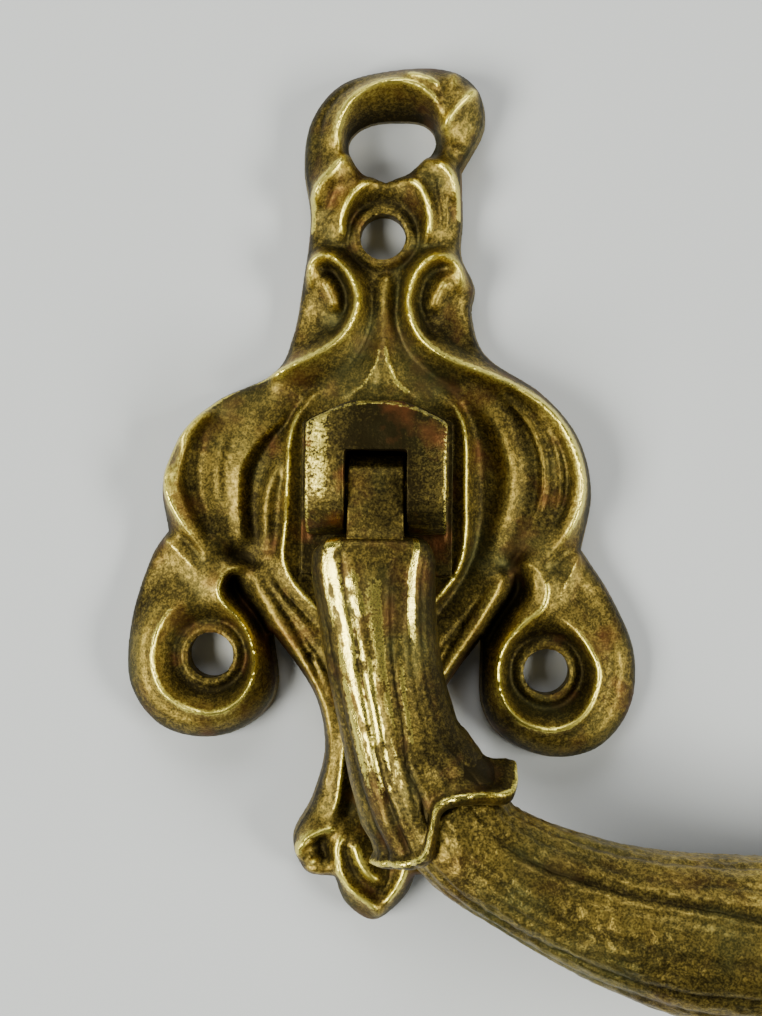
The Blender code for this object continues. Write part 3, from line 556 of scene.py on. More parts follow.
def plate_relief():
    """Heights of the plate's front on a grid, with how worn and how deep each place is."""
    xs, zs, x, z = relief_grid(RELIEF_STEP)
    depth = plate_distance(x, z)
    crests = CRESTS + both_sides(PAIRED_CRESTS)
    lines = [points for points, *_ in crests] + FLOORS + [points for points, in both_sides(PAIRED_FLOORS)]
    known, height, seat = given_heights(xs, zs, x, z, depth, lines)
    field = blur(stretch_between(known, height), MEMBRANE_BLUR)
    for points, amount, width in SWELLS + both_sides(PAIRED_SWELLS):
        part, bump = bump_along(xs, zs, x, z, points, width, SWELL_TAPER)
        field[part] += amount * bump
    crest = np.zeros(x.shape)
    for points, bead, width in crests:
        if bead > 0:
            part, bump = bump_along(xs, zs, x, z, points, width, BEAD_TAPER)
            field[part] += bead * bump
            crest[part] = np.maximum(crest[part], bump**1.4 * min(1.0, bead / FULL_BEAD))
    for cx, cz in SCREW_HOLES:
        r = np.hypot(x - cx, z - cz)
        over = np.clip(1 - (r - HOLE_R) / HOLE_LIP, 0, 1)
        field -= np.where(r > HOLE_R, HOLE_LIP * (1 - np.sqrt(1 - over**2)), 0)
    outer = smooth_line(OUTLINE, OUTLINE_STEP, True, OUTLINE_CORNERS)
    margin, _ = distance_to_line(x, z, outer, True)
    corner = np.clip(1 - (margin - DRAFT) / EDGE_ROUND, 0, 1)
    field -= EDGE_ROUND * (1 - np.sqrt(1 - corner**2))
    field = np.where(seat & (depth > 0), SEAT_H, field)
    cavity = blur(field, CAVITY_BLUR) - field
    return xs, zs, field, crest, cavity


def sample(xs, zs, field, x, z):
    """Bilinear reading of a grid."""
    u = np.clip((x - xs[0]) / RELIEF_STEP, 0, len(xs) - 1.001)
    v = np.clip((z - zs[0]) / RELIEF_STEP, 0, len(zs) - 1.001)
    i, j = u.astype(int), v.astype(int)
    fu, fv = u - i, v - j
    return (
        field[i, j] * (1 - fu) * (1 - fv)
        + field[i + 1, j] * fu * (1 - fv)
        + field[i, j + 1] * (1 - fu) * fv
        + field[i + 1, j + 1] * fu * fv
    )


def cut_grid(step):
    """Points (x, z) and triangles that cover the plate's face, cut off cleanly along its edges."""
    _, _, x, z = relief_grid(step)
    depth = plate_distance(x, z)
    least = 0.18 * step  # keeps a grid point off the edge, so that no sliver is cut
    depth = np.where(np.abs(depth) < least, np.where(depth < 0, -least, least), depth).ravel()
    places = np.stack([x.ravel(), z.ravel()], 1)
    index = np.arange(x.size).reshape(x.shape)
    a, b, c, d = index[:-1, :-1], index[1:, :-1], index[1:, 1:], index[:-1, 1:]
    even = np.add.outer(np.arange(a.shape[0]), np.arange(a.shape[1])) % 2 == 0
    first = np.where(even[..., None], np.stack([a, b, c], -1), np.stack([a, b, d], -1))
    second = np.where(even[..., None], np.stack([a, c, d], -1), np.stack([b, c, d], -1))
    tris = np.concatenate([first.reshape(-1, 3), second.reshape(-1, 3)])
    inner = depth[tris] > 0
    count = inner.sum(1)
    cuts = {}
    extra = []

    def crossing(i, j):
        key = (i, j) if i < j else (j, i)
        if key not in cuts:
            t = depth[i] / (depth[i] - depth[j])
            cuts[key] = len(places) + len(extra)
            extra.append(places[i] + t * (places[j] - places[i]))
        return cuts[key]

    made = []
    crossed = (count == 1) | (count == 2)
    for tri, mask in zip(tris[crossed], inner[crossed]):
        alone = mask if mask.sum() == 1 else ~mask
        k = int(np.argmax(alone))
        p, q, r = (tri[(k + n) % 3] for n in range(3))
        if mask[k]:
            made.append((p, crossing(p, q), crossing(p, r)))
        else:
            near, far = crossing(q, p), crossing(r, p)
            made += [(q, r, far), (q, far, near)]
    tris = np.concatenate([tris[count == 3], np.array(made)])
    points = np.concatenate([places, np.array(extra)])
    used, tris = np.unique(tris, return_inverse=True)
    return points[used], tris.reshape(-1, 3)


def boundary_loops(tris):
    """The border of a sheet of triangles, as closed lists of point indexes."""
    edges = np.concatenate([tris[:, [0, 1]], tris[:, [1, 2]], tris[:, [2, 0]]])
    known = set(map(tuple, edges))
    following = {a: b for a, b in known if (b, a) not in known}
    loops = []
    while following:
        start, at = following.popitem()
        loop = [start]
        while at != start:
            loop.append(at)
            at = following.pop(at)
        loops.append(loop)
    return loops


def wall_down(work, top, places, end, spread):
    """A wall from a ring of vertices down to `end`, its foot `spread` outside the ring. Returns the foot."""
    x, y, z = places.T
    into = way_in(x, z, SLOPE_REACH)
    for part in FOOT_PARTS:
        shift = spread * part**0.7
        row = np.stack([x - into[:, 0] * shift, y + (end - y) * part, z - into[:, 1] * shift], 1)
        lower = [work.verts.new(place) for place in row]
        bridge(work, top, lower)
        top = lower
    return top


def plate_mesh(name):
    """The whole backplate: relief front, drafted edges, and a flat-rimmed back with its core pocket."""
    xs, zs, field, crest, cavity = plate_relief()
    points, tris = cut_grid(MESH_STEP)
    px, pz = points[:, 0], points[:, 1]
    skin = np.array([noise.noise(Vector((u * SKIN_SCALE, v * SKIN_SCALE, 3.0))) for u, v in points])
    height = sample(xs, zs, field, px, pz) + SKIN_HEIGHT * skin
    front = np.stack([px, -height, pz], 1)
    work = bmesh.new()
    verts = [work.verts.new(place) for place in front]
    for i, j, k in tris:
        work.faces.new((verts[i], verts[j], verts[k]))
    back_rings = []
    floor_rings = []
    for loop in boundary_loops(tris):
        places = front[loop]
        outer = np.ptp(places[:, 0]) > 30
        shank = not outer and np.hypot(*places[:, ::2].mean(0)) < 1
        end = -POCKET_DEPTH if shank else 0.0
        foot = wall_down(work, [verts[i] for i in loop], places, end, DRAFT if outer else 0.0)
        (floor_rings if shank else back_rings).append(foot)
    pocket = smooth_line(POCKET, 0.8, True)
    rings = []
    for y, inset in POCKET_WALL:
        scale = 1 - inset / POCKET_R
        rings.append([work.verts.new((u * scale, y, v * scale)) for u, v in pocket])
    for upper, lower in zip(rings, rings[1:]):
        bridge(work, upper, lower)
    fill_between(work, back_rings + [rings[0]])
    fill_between(work, floor_rings + [rings[-1]])
    mesh = finished(work, name, 50)
    others = (0, len(mesh.vertices) - len(points))
    wear_and_sheen, deep = (np.pad(sample(xs, zs, values, px, pz), others) for values in (crest, cavity))
    mark_wear_sheen_and_shade(mesh, wear_and_sheen, deep)
    return mesh


# ---- bars in rings

# Arm stations: centre (x, z), distance from the door, half width, half depth, squareness of the section
ARM = [
    (-0.1, -5.3, 12.0, 6.8, 4.9, 4.0), (-0.4, -9.0, 12.1, 7.1, 5.3, 3.0), (0.3, -14.5, 12.3, 6.7, 5.6, 2.4),
    (1.2, -19.5, 12.6, 6.4, 5.8, 2.2), (2.6, -24.5, 12.9, 6.5, 6.0, 2.0), (4.3, -29.4, 13.2, 6.9, 6.3, 2.0),
    (6.6, -33.0, 13.4, 8.6, 6.8, 2.0), (8.2, -35.8, 13.4, 9.6, 7.2, 2.0),
]  # fmt: skip
GRIP = [
    (7.6, -34.9, 13.4, 6.0, 5.4, 2.0), (8.9, -36.6, 13.4, 6.3, 5.6, 2.0), (12.0, -39.6, 13.3, 6.3, 5.9, 2.0),
    (16.2, -42.0, 13.1, 6.5, 6.4, 2.0), (21.5, -44.4, 12.9, 7.1, 7.0, 2.0),
    (27.5, -46.6, 12.8, 7.9, 7.8, 2.0), (35.0, -48.4, 12.7, 8.9, 8.7, 2.0),
    (43.0, -49.2, 12.6, 9.4, 9.3, 2.0), (52.0, -49.5, 12.5, 9.7, 9.6, 2.0),
    (60.0, -49.5, 12.5, 9.7, 9.6, 2.0),
]  # fmt: skip

# Grooves cut along a bar: (width fractions across the bar at even steps of its length, depth, width).
# A fraction runs from -1 at the bar's left or lower edge to 1 at its right or upper edge.
ARM_FRONT_GROOVES = [
    ([-0.86, -0.84, -0.84, -0.86, -0.85, -0.84], 0.25, 0.7),
    ([-0.26, -0.30, -0.36, -0.46, -0.56, -0.58], 0.34, 0.40),
    ([-0.04, -0.08, -0.14, -0.26, -0.38, -0.44], 0.14, 0.28),
    ([0.20, 0.18, 0.14, 0.08, -0.04, -0.18], 0.34, 0.42),
    ([0.46, 0.44, 0.42, 0.38, 0.32, 0.24], 0.13, 0.35),
    ([0.72, 0.72, 0.70, 0.66, 0.62, 0.60], 0.14, 0.5),
]
ARM_BACK_GROOVES = [
    ([-0.60, -0.60, -0.60, -0.62, -0.62, -0.62], 0.4, 0.9),
    ([-0.10, -0.10, -0.12, -0.10, -0.10, -0.10], 0.4, 0.9),
    ([0.45, 0.45, 0.45, 0.48, 0.50, 0.50], 0.4, 0.9),
]
GRIP_FRONT_GROOVES = [
    ([0.93, 0.93, 0.94, 0.95, 0.95, 0.95], 0.22, 0.45),
    ([0.84, 0.76, 0.73, 0.77, 0.78, 0.78], 0.20, 0.5),
    ([0.55, 0.45, 0.51, 0.52, 0.34, 0.28], 0.60, 0.50),
    ([0.30, 0.22, 0.30, 0.36, 0.16, 0.08], 0.12, 0.5),
    ([-0.05, -0.14, -0.12, -0.08, -0.06, -0.10], 0.26, 0.6),
    ([-0.35, -0.44, -0.40, -0.30, -0.26, -0.30], 0.12, 0.5),
    ([-0.62, -0.76, -0.66, -0.52, -0.40, -0.44], 0.35, 0.5),
    ([-0.84, -0.92, -0.88, -0.78, -0.66, -0.68], 0.30, 0.6),
    ([-0.97, -0.985, -0.975, -0.95, -0.93, -0.93], 0.2, 0.6),
]
GRIP_BACK_GROOVES = [
    ([-0.80, -0.84, -0.78, -0.72, -0.76, -0.78], 0.4, 0.7),
    ([-0.40, -0.46, -0.36, -0.28, -0.34, -0.38], 0.4, 0.7),
    ([0.02, -0.04, 0.08, 0.16, 0.08, 0.04], 0.4, 0.7),
    ([0.44, 0.38, 0.48, 0.54, 0.48, 0.44], 0.4, 0.7),
    ([0.78, 0.74, 0.80, 0.84, 0.80, 0.78], 0.35, 0.6),
]
# The calyx's wavy rim: how far it reaches past the last station, by the angle round the section in degrees
CALYX_RIM = [
    (0, -1.7), (12, -1.1), (24, -0.1), (34, 0.4), (45, 0.0), (53, -0.6), (62, -1.4), (74, -2.2), (84, -2.7),
    (92, -2.4), (97, -1.1), (101, -0.6), (106, 0.6), (113, 1.6), (125, 1.7), (137, 1.2), (158, 0.6),
    (180, 0.2), (205, 0.8), (230, -0.8), (256, 0.8), (282, 1.4), (308, 1.6), (334, 0.6), (348, -1.2),
]  # fmt: skip
CALYX_BEADS = [(56, 0.35, 7), (90, 0.20, 8), (117, 0.25, 12), (178, 0.3, 10), (255, 0.3, 14)]
# The lip's section from its outside to its inside, as (rise above the arm, reach along it, rubbed)
LIP = [
    (-0.35, -0.6, 0.0), (0.0, -0.32, 0.5), (0.16, -0.05, 1.0), (0.05, 0.25, 0.5), (-0.25, 0.62, 0.0),
    (-0.75, 0.98, 0.0), (-1.3, 1.1, 0.0), (-1.85, 0.95, 0.0), (-2.2, 0.5, 0.0), (-2.3, -0.1, 0.0),
]  # fmt: skip
LIP_RISE = 0.6
# How far the arm's sides stand out from its section, as (distance along the arm, right side, left side)
SIDES = [
    (0, 0.0, -0.3), (4, -0.1, -0.5), (6, -0.1, -0.5), (10, -0.2, -0.3), (14, -0.15, -0.1), (18, -0.4, 0.05),
    (23, -0.55, 0.3), (25, -0.6, 0.45), (27, -1.0, 0.5), (29, -1.7, 0.25), (30.8, -1.85, 0.05),
    (31.6, -1.2, 0.0), (32.3, -0.1, 0.0),
]  # fmt: skip
# Bright bands on the arm, partly rubbed metal and partly painted highlight: (width fractions as for the
# grooves, width, strength, from, to)
RUBBED_AND_SHEEN = [
    ([-0.46, -0.50, -0.54, -0.60, -0.66, -0.70], 1.35, 1.1, -2, 29),
    ([-0.16, -0.18, -0.22, -0.32, -0.42, -0.48], 0.65, 1.0, 1, 30),
    ([0.02, 0.00, -0.02, -0.10, -0.24, -0.34], 0.60, 0.55, 3, 31),
    ([0.52, 0.52, 0.52, 0.48, 0.42, 0.36], 0.55, 1.0, -2, 16),
    ([0.34, 0.32, 0.28, 0.20, 0.08, -0.04], 0.45, 0.5, 8, 31),
]
SHOULDER_ROUND = 1.0
SHOULDER_SIDE_ROUND = 1.7  # what the sides add to it
CALYX_DROP = 0.75  # how far the calyx draws in under its lip
# Inside the calyx: the cup, then the round socket for the grip's tenon, as (depth, half width, half depth)
CUP_DEPTH = 4.6
SOCKET_END = CUP_DEPTH + 6.8
TENON_R = 3.8
SOCKET_R = TENON_R + 0.3
CUP = [
    (1.4, 7.3, 6.1), (CUP_DEPTH, 6.5, 5.9), (CUP_DEPTH, SOCKET_R, SOCKET_R),
    (SOCKET_END, SOCKET_R, SOCKET_R),
]  # fmt: skip
# The grip's tenon, as (how far out of the grip, radius)
TENON = [(6.5, TENON_R - 0.4), (6.1, TENON_R), (0.0, TENON_R)]
ARM_SIDES = 180
ARM_STEP = 0.24
GRIP_SIDES = 170
GRIP_STEP = 0.36


class Bar:
    """A bent bar through stations, as centres, directions and section sizes at a row of places along it."""

    def __init__(self, stations, step, sides, level_end=False):
        fine = along_curve(stations, np.linspace(0, 1, 60 * len(stations)))
        walked = np.concatenate([[0], np.cumsum(np.linalg.norm(np.diff(fine[:, :3], axis=0), axis=1))])
        self.length = walked[-1]
        self.at = np.linspace(0, 1, int(round(self.length / step)) + 1)
        self.walked = self.at * self.length
        self.rows = np.stack([np.interp(self.walked, walked, col) for col in fine.T], 1)
        self.radius = (self.rows[:, 3] + self.rows[:, 4]) / 2
        self.sides = sides
        self.angles = np.arange(sides) / sides * 2 * math.pi
        tangent = np.gradient(self.rows[:, :2], axis=0)
        tangent /= np.linalg.norm(tangent, axis=1)[:, None]
        if level_end:
            tangent[-1] = (1.0, 0.0)
        self.along = tangent
        self.across = np.stack([-tangent[:, 1], tangent[:, 0]], 1)

    def ring_points(self, rows, along, across, grow=0.0, shift=0.0):
        """Points of sections: an angle of 0 is the across side and 90 degrees faces the front."""
        x, z, far, wide, deep, square = (rows[:, k, None] for k in range(6))
        c, s = np.cos(self.angles), np.sin(self.angles)
        a = np.sign(c) * np.abs(c) ** (2 / square) * wide
        f = np.sign(s) * np.abs(s) ** (2 / square) * deep
        na, nf = c / wide, s / deep
        size = np.hypot(na, nf)
        a = a + na / size * grow
        f = f + nf / size * grow
        px = x + across[:, 0, None] * a + along[:, 0, None] * shift
        pz = z + across[:, 1, None] * a + along[:, 1, None] * shift
        return np.stack([px, -(far + f), pz], -1)

    def end_ring(self, end, wide=None, deep=None, grow=0.0, shift=0.0):
        """The section at the bar's start (0) or end (-1), or one of another half width and depth there."""
        row = self.rows[[end]]
        if wide:
            row[0, 3:5] = wide, deep
        return self.ring_points(row, self.along[[end]], self.across[[end]], grow, shift)

    def off_line(self, fractions, sign=1):
        """How far each point of the surface is, round the bar, from a line given as width fractions."""
        line = sign * np.arccos(np.clip(along_curve(fractions, self.at), -0.999, 0.999))
        turn = np.abs((self.angles[None, :] - line[:, None] + math.pi) % (2 * math.pi) - math.pi)
        return turn * self.radius[:, None]

    def flutes(self, front, back, deepen):
        """How far the grooves of the front and the back sink the surface."""
        sunk = np.zeros((len(self.at), self.sides))
        for grooves, sign in ((front, 1), (back, -1)):
            for fractions, depth, width in grooves:
                groove = np.exp(-((self.off_line(fractions, sign) / width) ** 1.3))
                sunk = np.maximum(sunk, depth * groove * deepen[:, None])
        return sunk

    def surface_noise(self, value):
        """value(along, across, ahead) for each point of the surface."""
        out = np.zeros((len(self.at), self.sides))
        for i, (at, r) in enumerate(zip(self.walked, self.radius)):
            for j, angle in enumerate(self.angles):
                out[i, j] = value(at, math.cos(angle) * r, math.sin(angle) * r)
        return out

    def streaks(self, seed, size):
        """Fine lengthwise unevenness of the cast and rubbed surface."""

        def height(at, across, ahead):
            place = Vector((at * 0.12, across * 0.9, ahead * 0.9 + seed))
            dimple = Vector((at * 0.8, across * 0.8, ahead * 0.8 - seed))
            return noise.noise(place) + 0.6 * noise.noise(place * 2.3) + 0.5 * noise.noise(dimple)

        return self.surface_noise(height) * size

    def dents(self, seed, size):
        """Small shallow hollows, a millimetre or two across, left by the casting."""

        def height(at, across, ahead):
            place = Vector((at * 0.55, across * 0.8, ahead * 0.8 + seed))
            return -2 * abs(noise.noise(place)) - 0.8 * abs(noise.noise(place * 2.1))

        return self.surface_noise(height) * size


def ring_mesh(name, rings, wear_and_sheen, patina_and_shade):
    """A closed mesh over a stack of rings, with both ends closed by a fan."""
    count, sides = rings.shape[:2]
    ends = np.stack([rings[0].mean(0), rings[-1].mean(0)])
    places = np.concatenate([rings.reshape(-1, 3), ends])
    index = np.arange(count * sides).reshape(count, sides)
    after = np.roll(index, -1, axis=1)
    quads = np.stack([index[:-1], after[:-1], after[1:], index[1:]], -1).reshape(-1, 4)
    first = [(count * sides, b, a) for a, b in zip(index[0], after[0])]
    last = [(count * sides + 1, a, b) for a, b in zip(index[-1], after[-1])]
    shell = bpy.data.meshes.new(name + "_shell")
    shell.from_pydata(places.tolist(), [], quads.tolist() + first + last)
    work = bmesh.new()
    work.from_mesh(shell)
    bpy.data.meshes.remove(shell)
    mesh = finished(work, name)
    mark_wear_sheen_and_shade(mesh, *(np.concatenate([values.ravel(), [0.0, 0.0]]) for values in (wear_and_sheen, patina_and_shade)))
    return mesh


# ---- arm


def calyx_reach(angles):
    """How far the calyx's rim stands past the arm's last station, round the section."""
    rim = np.array(CALYX_RIM + [(360, CALYX_RIM[0][1])], float)
    reach = np.interp(np.degrees(angles), rim[:, 0], rim[:, 1])
    taps = np.array([1, 3, 4, 3, 1]) / 12
    return sum(tap * np.roll(reach, k - 2) for k, tap in enumerate(taps))


def rubbed_and_sheen_bands(bar):
    """The arm's bright bands, partly rubbed metal and partly painted highlight where the lamps' reflections
    run, broken into patches.
    """
    patches = np.clip(0.9 + 1.2 * bar.streaks(47.0, 1.0), 0, 1)
    wear_and_sheen = np.zeros(patches.shape)
    for fractions, width, strength, start, end in RUBBED_AND_SHEEN:
        band = np.exp(-((bar.off_line(fractions) / width) ** 4))
        reached = smooth_step(start, start + 2, bar.walked) * (1 - smooth_step(end - 9, end, bar.walked))
        wear_and_sheen = np.maximum(wear_and_sheen, strength * band * reached[:, None])
    return wear_and_sheen * patches


def arm_surface(bar, sunk, reach):
    """The arm's sections from the shoulder to the calyx, and how far the last one stands out."""
    turn = np.cos(bar.angles)
    grow = -sunk + bar.streaks(11.0, 0.07)
    shoulder = SHOULDER_ROUND + SHOULDER_SIDE_ROUND * turn[None] ** 2
    corner = np.clip(1 - bar.walked[:, None] / shoulder, 0, 1)
    grow -= shoulder * (1 - np.sqrt(1 - corner**2))
    sides = np.array(SIDES)
    right, left = (np.interp(bar.walked, sides[:, 0], sides[:, k])[:, None] for k in (1, 2))
    grow += right * np.clip(turn, 0, 1) ** 1.2 + left * np.clip(-turn, 0, 1) ** 1.2
    grow = grow - CALYX_DROP * smooth_step(bar.length - 5, bar.length, bar.walked)[:, None]
    bend = smooth_step(0.55 * bar.length, bar.length, bar.walked)[:, None]
    straight = 1 - smooth_step(0, 4, bar.walked)[:, None]
    across = bar.across * (1 - straight) + np.array([1.0, 0.0]) * straight
    across /= np.linalg.norm(across, axis=1)[:, None]
    return bar.ring_points(bar.rows, bar.along, across, grow, bend * (reach[None, :] - 0.9)), grow[-1]


def arm_mesh(name):
    """A fluted arm with a rounded shoulder, a wavy rolled calyx rim, and a cup and socket for the grip."""
    bar = Bar(ARM, ARM_STEP, ARM_SIDES)
    angles = bar.angles
    # the flutes start shallow below the tongue, and are deepest where they run into the calyx
    deepen = 0.35 + 0.65 * smooth_step(0, 9, bar.walked) + 0.6 * smooth_step(20, bar.length, bar.walked)
    sunk = bar.flutes(ARM_FRONT_GROOVES, ARM_BACK_GROOVES, deepen)
    reach = calyx_reach(angles)
    body, last = arm_surface(bar, sunk, reach)
    wear_and_sheen = rubbed_and_sheen_bands(bar)
    rings = [body]
    wear_and_sheen_rows = [wear_and_sheen]
    # darker in the flutes and away from the bright bands, and painted shade down the arm's inner side,
    # towards the other arm
    patina_and_shade_rows = [sunk * 2.2 + 0.35 * (1 - wear_and_sheen) + 0.35 * smooth_step(0.2, 0.9, np.cos(angles))]

    swell = np.zeros(bar.sides)
    for place, size, spread in CALYX_BEADS:
        off = (np.degrees(angles) - place + 180) % 360 - 180
        swell += size * np.exp(-((off / spread) ** 2))
    around = [noise.noise(Vector((2.2 * math.cos(a), 2.2 * math.sin(a), 9.0))) for a in angles]
    lip_wear = np.clip(0.9 + 0.9 * np.array(around) + swell, 0.25, 1.1)
    for out, ahead, rub in LIP:
        rise = last + LIP_RISE + out + swell * (0.4 + 0.6 * rub)
        rings.append(bar.end_ring(-1, grow=rise[None], shift=(reach + ahead)[None]))
        wear_and_sheen_rows.append(rub * lip_wear[None])
        patina_and_shade_rows.append(np.full((1, bar.sides), 0.5 * (1 - rub)))
    for depth, wide, deep in CUP:
        follows_rim = depth < CUP_DEPTH
        push = np.maximum(reach - depth, 0.2 - CUP_DEPTH) if follows_rim else np.full(bar.sides, -depth)
        rings.append(bar.end_ring(-1, wide, deep, shift=push[None]))
        wear_and_sheen_rows.append(np.zeros((1, bar.sides)))
        # painted shade: the cup inside the calyx is made darkest
        patina_and_shade_rows.append(np.full((1, bar.sides), 1.5))
    return ring_mesh(name, np.concatenate(rings), np.concatenate(wear_and_sheen_rows), np.concatenate(patina_and_shade_rows))


# The flat tongue on the hinge pin. TONGUE_ROOT is its outline below the pin, which swells into the arm's
# shoulder in front, as (distance ahead of the pin, height).
TONGUE_R = 3.7
TONGUE_HALF_WIDTH = 3.1
TONGUE_SQUARENESS = 0.78
TONGUE_ROOT = [(3.7, -3.8), (3.78, -4.35), (3.95, -4.8), (4.2, -5.3), (4.2, -7.4), (-3.7, -7.4)]


def tongue_mesh(name):
    """The tongue alone, its outline drawn out to its width and its edges rounded."""
    profile = []
    for turn in np.linspace(0, math.pi, 33):
        ahead = -math.copysign(abs(math.cos(turn)) ** TONGUE_SQUARENESS, math.cos(turn))
        profile.append((TONGUE_R * ahead, TONGUE_R * math.sin(turn) ** TONGUE_SQUARENESS))
    work = bmesh.new()
    face = work.faces.new(
        [work.verts.new((-TONGUE_HALF_WIDTH, -(PIN_FAR + ahead), z)) for ahead, z in profile + TONGUE_ROOT]
    )
    grown = bmesh.ops.extrude_face_region(work, geom=[face])
    moved = [item for item in grown["geom"] if isinstance(item, bmesh.types.BMVert)]
    bmesh.ops.translate(work, verts=moved, vec=Vector((2 * TONGUE_HALF_WIDTH, 0, 0)))
    bmesh.ops.recalc_face_normals(work, faces=work.faces)
    sharp = [edge for edge in work.edges if edge.calc_face_angle(0) > 0.9]
    bmesh.ops.bevel(work, geom=sharp, offset=0.25, segments=3, affect="EDGES", profile=0.5)
    mesh = finished(work, name)
    count = len(mesh.vertices)
    # painted shade: the whole tongue is darkened, with no rubbed places
    mark_wear_sheen_and_shade(mesh, np.full(count, 0.0), np.full(count, 0.55))
    return mesh


def joined(mesh, other):
    """The union of two closed meshes."""
    pair = [add_object(part.name, part) for part in (mesh, other)]
    union = pair[0].modifiers.new("union", "BOOLEAN")
    union.operation = "UNION"
    union.object = pair[1]
    result = as_evaluated(pair[0])
    for part in pair:
        bpy.data.objects.remove(part, do_unlink=True)
    return result


# ---- grip


def grip_mesh(name):
    """The handgrip: flutes that swell to the middle, mirrored there, with a tenon at each end."""
    bar = Bar(GRIP, GRIP_STEP, GRIP_SIDES, True)
    deepen = 0.25 + 0.75 * smooth_step(2, 12, bar.walked)
    sunk = bar.flutes(GRIP_FRONT_GROOVES, GRIP_BACK_GROOVES, deepen)
    level = 1 - smooth_step(bar.length - 6, bar.length, bar.walked) * 0.3
    grow = -sunk * level[:, None] + bar.streaks(31.0, 0.09) + bar.dents(7.0, 0.11)
    half = [bar.end_ring(0, radius, radius, shift=-depth) for depth, radius in TENON]
    half.append(bar.ring_points(bar.rows, bar.along, bar.across, grow))
    half = np.concatenate(half)
    far = half[:-1][::-1].copy()
    far[..., 0] = SPACING - far[..., 0]
    sunk = np.concatenate([np.zeros((len(TENON), bar.sides)), sunk])
    sunk = np.concatenate([sunk, sunk[:-1][::-1]])
    rubbed = np.clip(np.cos(bar.angles - 1.2), 0, 1)
    wear_and_sheen = np.clip(0.2 - sunk, 0, 1) * 0.9 * rubbed
    return ring_mesh(name, np.concatenate([half, far]), wear_and_sheen, sunk * 1.8 + 0.15)


# ---- lug and pin

SLOT_HALF_WIDTH = 3.4
BLOCK_HALF_WIDTH = 7.7
FLANGE_HALF_WIDTH = 8.7
BLOCK_FOOT = 6.7  # the block stands on its flange this far from the door
BLOCK_FACE = 15  # what is further out than this is the front face
ARCH_START = 4.8  # the height above the pin at which the lug's arched top begins
ARCH_TOP = 9.5
FLANGE_TOP = 10.2
PIN_REACH = 7.95
# The pin's end, as (distance in from its tip, radius)
PIN_END = [(0, 0), (0.05, 0.9), (0.3, 1.4), (0.6, 1.5)]


def worn_copy(node_name, voxel, rounds, shape):
    """A node's solid in the plate's frame, its edges worn round, and its points moved by shape()."""
    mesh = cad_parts[node_name].data.copy()
    mesh.transform(Matrix.Translation((-PLATE_X, 0, 0)) @ Matrix.Scale(1 / MM, 4))
    spare = add_object(node_name + "_worn", mesh)
    remesh = spare.modifiers.new("remesh", "REMESH")
    remesh.mode = "VOXEL"
    remesh.voxel_size = voxel
    relax = spare.modifiers.new("relax", "SMOOTH")
    relax.factor = 0.5
    relax.iterations = rounds
    result = as_evaluated(spare)
    bpy.data.objects.remove(spare, do_unlink=True)
    places = np.empty(len(result.vertices) * 3)
    normals = np.empty(len(result.vertices) * 3)
    result.vertices.foreach_get("co", places)
    result.vertices.foreach_get("normal", normals)
    places = places.reshape(-1, 3)
    move, wear_and_sheen, patina_and_shade = shape(places, normals.reshape(-1, 3))
    result.vertices.foreach_set("co", (places + move).ravel())
    mark_wear_sheen_and_shade(result, wear_and_sheen, patina_and_shade)
    result.update()
    result.shade_smooth()
    return result


def band(value, middle, width):
    """1 at the middle and falling off over the width."""
    return np.exp(-(((value - middle) / width) ** 2))


def lug_shape(places, normals):
    """Crowns the block's front and top, scores it with file marks, finds its rubbed edges, and paints a
    highlight down the outer side of its front and shade over its middle, its slot and its flange.
    """
    x, far, z = places[:, 0], -places[:, 1], places[:, 2]
    side = np.abs(x)
    ahead = np.clip(far - 16, 0, 1)
    block_top = np.minimum(np.interp(side, [0, 5.6, 7.7], [9.6, 9.0, 7.05]), 9.7 - ahead)
    flange_top = np.interp(side, [0, 5.5, 8.7], [FLANGE_TOP, FLANGE_TOP, 8.6])
    block_arch = ARCH_TOP - 2.3 * (x / BLOCK_HALF_WIDTH) ** 2 - 0.2 * ahead
    flange_arch = FLANGE_TOP - 2.6 * (x / FLANGE_HALF_WIDTH) ** 2
    block = far > BLOCK_FOOT
    cad_top = np.where(block, block_top, flange_top)
    arch_top = np.where(block, block_arch, flange_arch)
    lift = np.clip(z - ARCH_START, 0, None) * ((arch_top - ARCH_START) / (cad_top - ARCH_START) - 1)
    crown = 0.9 * (side / BLOCK_HALF_WIDTH) ** 3 + 0.5 * np.clip((z - 3) / 6.7, 0, 1) ** 2
    marks = np.array([noise.noise(Vector((px * 0.5, pz * 2.6, 1.0))) for px, pz in zip(x, z)])
    dents = np.array([noise.noise(Vector((px * 0.45, py * 0.45, pz * 0.45))) for px, py, pz in places])
    facing = np.clip(-normals[:, 1], 0, 1)
    move = np.zeros_like(places)
    move[:, 1] = (np.clip((far - 8) / 8, 0, 1) * crown - marks * 0.035 * facing) * (far > 8)
    move[:, 2] = lift
    move += normals * (dents * 0.10)[:, None] * (far > 6.5)[:, None]
    edge = band(side, 7.5, 0.35) * (far > 13) + band(z + lift, arch_top, 0.3) * (far > 14)
    slot = (side < SLOT_HALF_WIDTH + 0.1) & (far < 16)
    # painted highlight: a bright band down the outer side of the block's front face
    painted_outer_highlight = 0.50 * band(x, -6.3, 1.7) * (far > BLOCK_FACE) * np.clip((z + 3) / 3, 0, 1)
    # painted shade: the middle of the block's front face is darkened
    painted_front_shade = 0.75 * band(x, 1.5, 4.5) * (far > BLOCK_FACE)
    # painted shade: darkest in the slot between the cheeks, half dark on the flange by the door
    patina_and_shade = np.where(slot, 1.0, np.where(far < 7, 0.5, painted_front_shade))
    return move, np.maximum(np.clip(edge, 0, 1) * 0.43, painted_outer_highlight), patina_and_shade


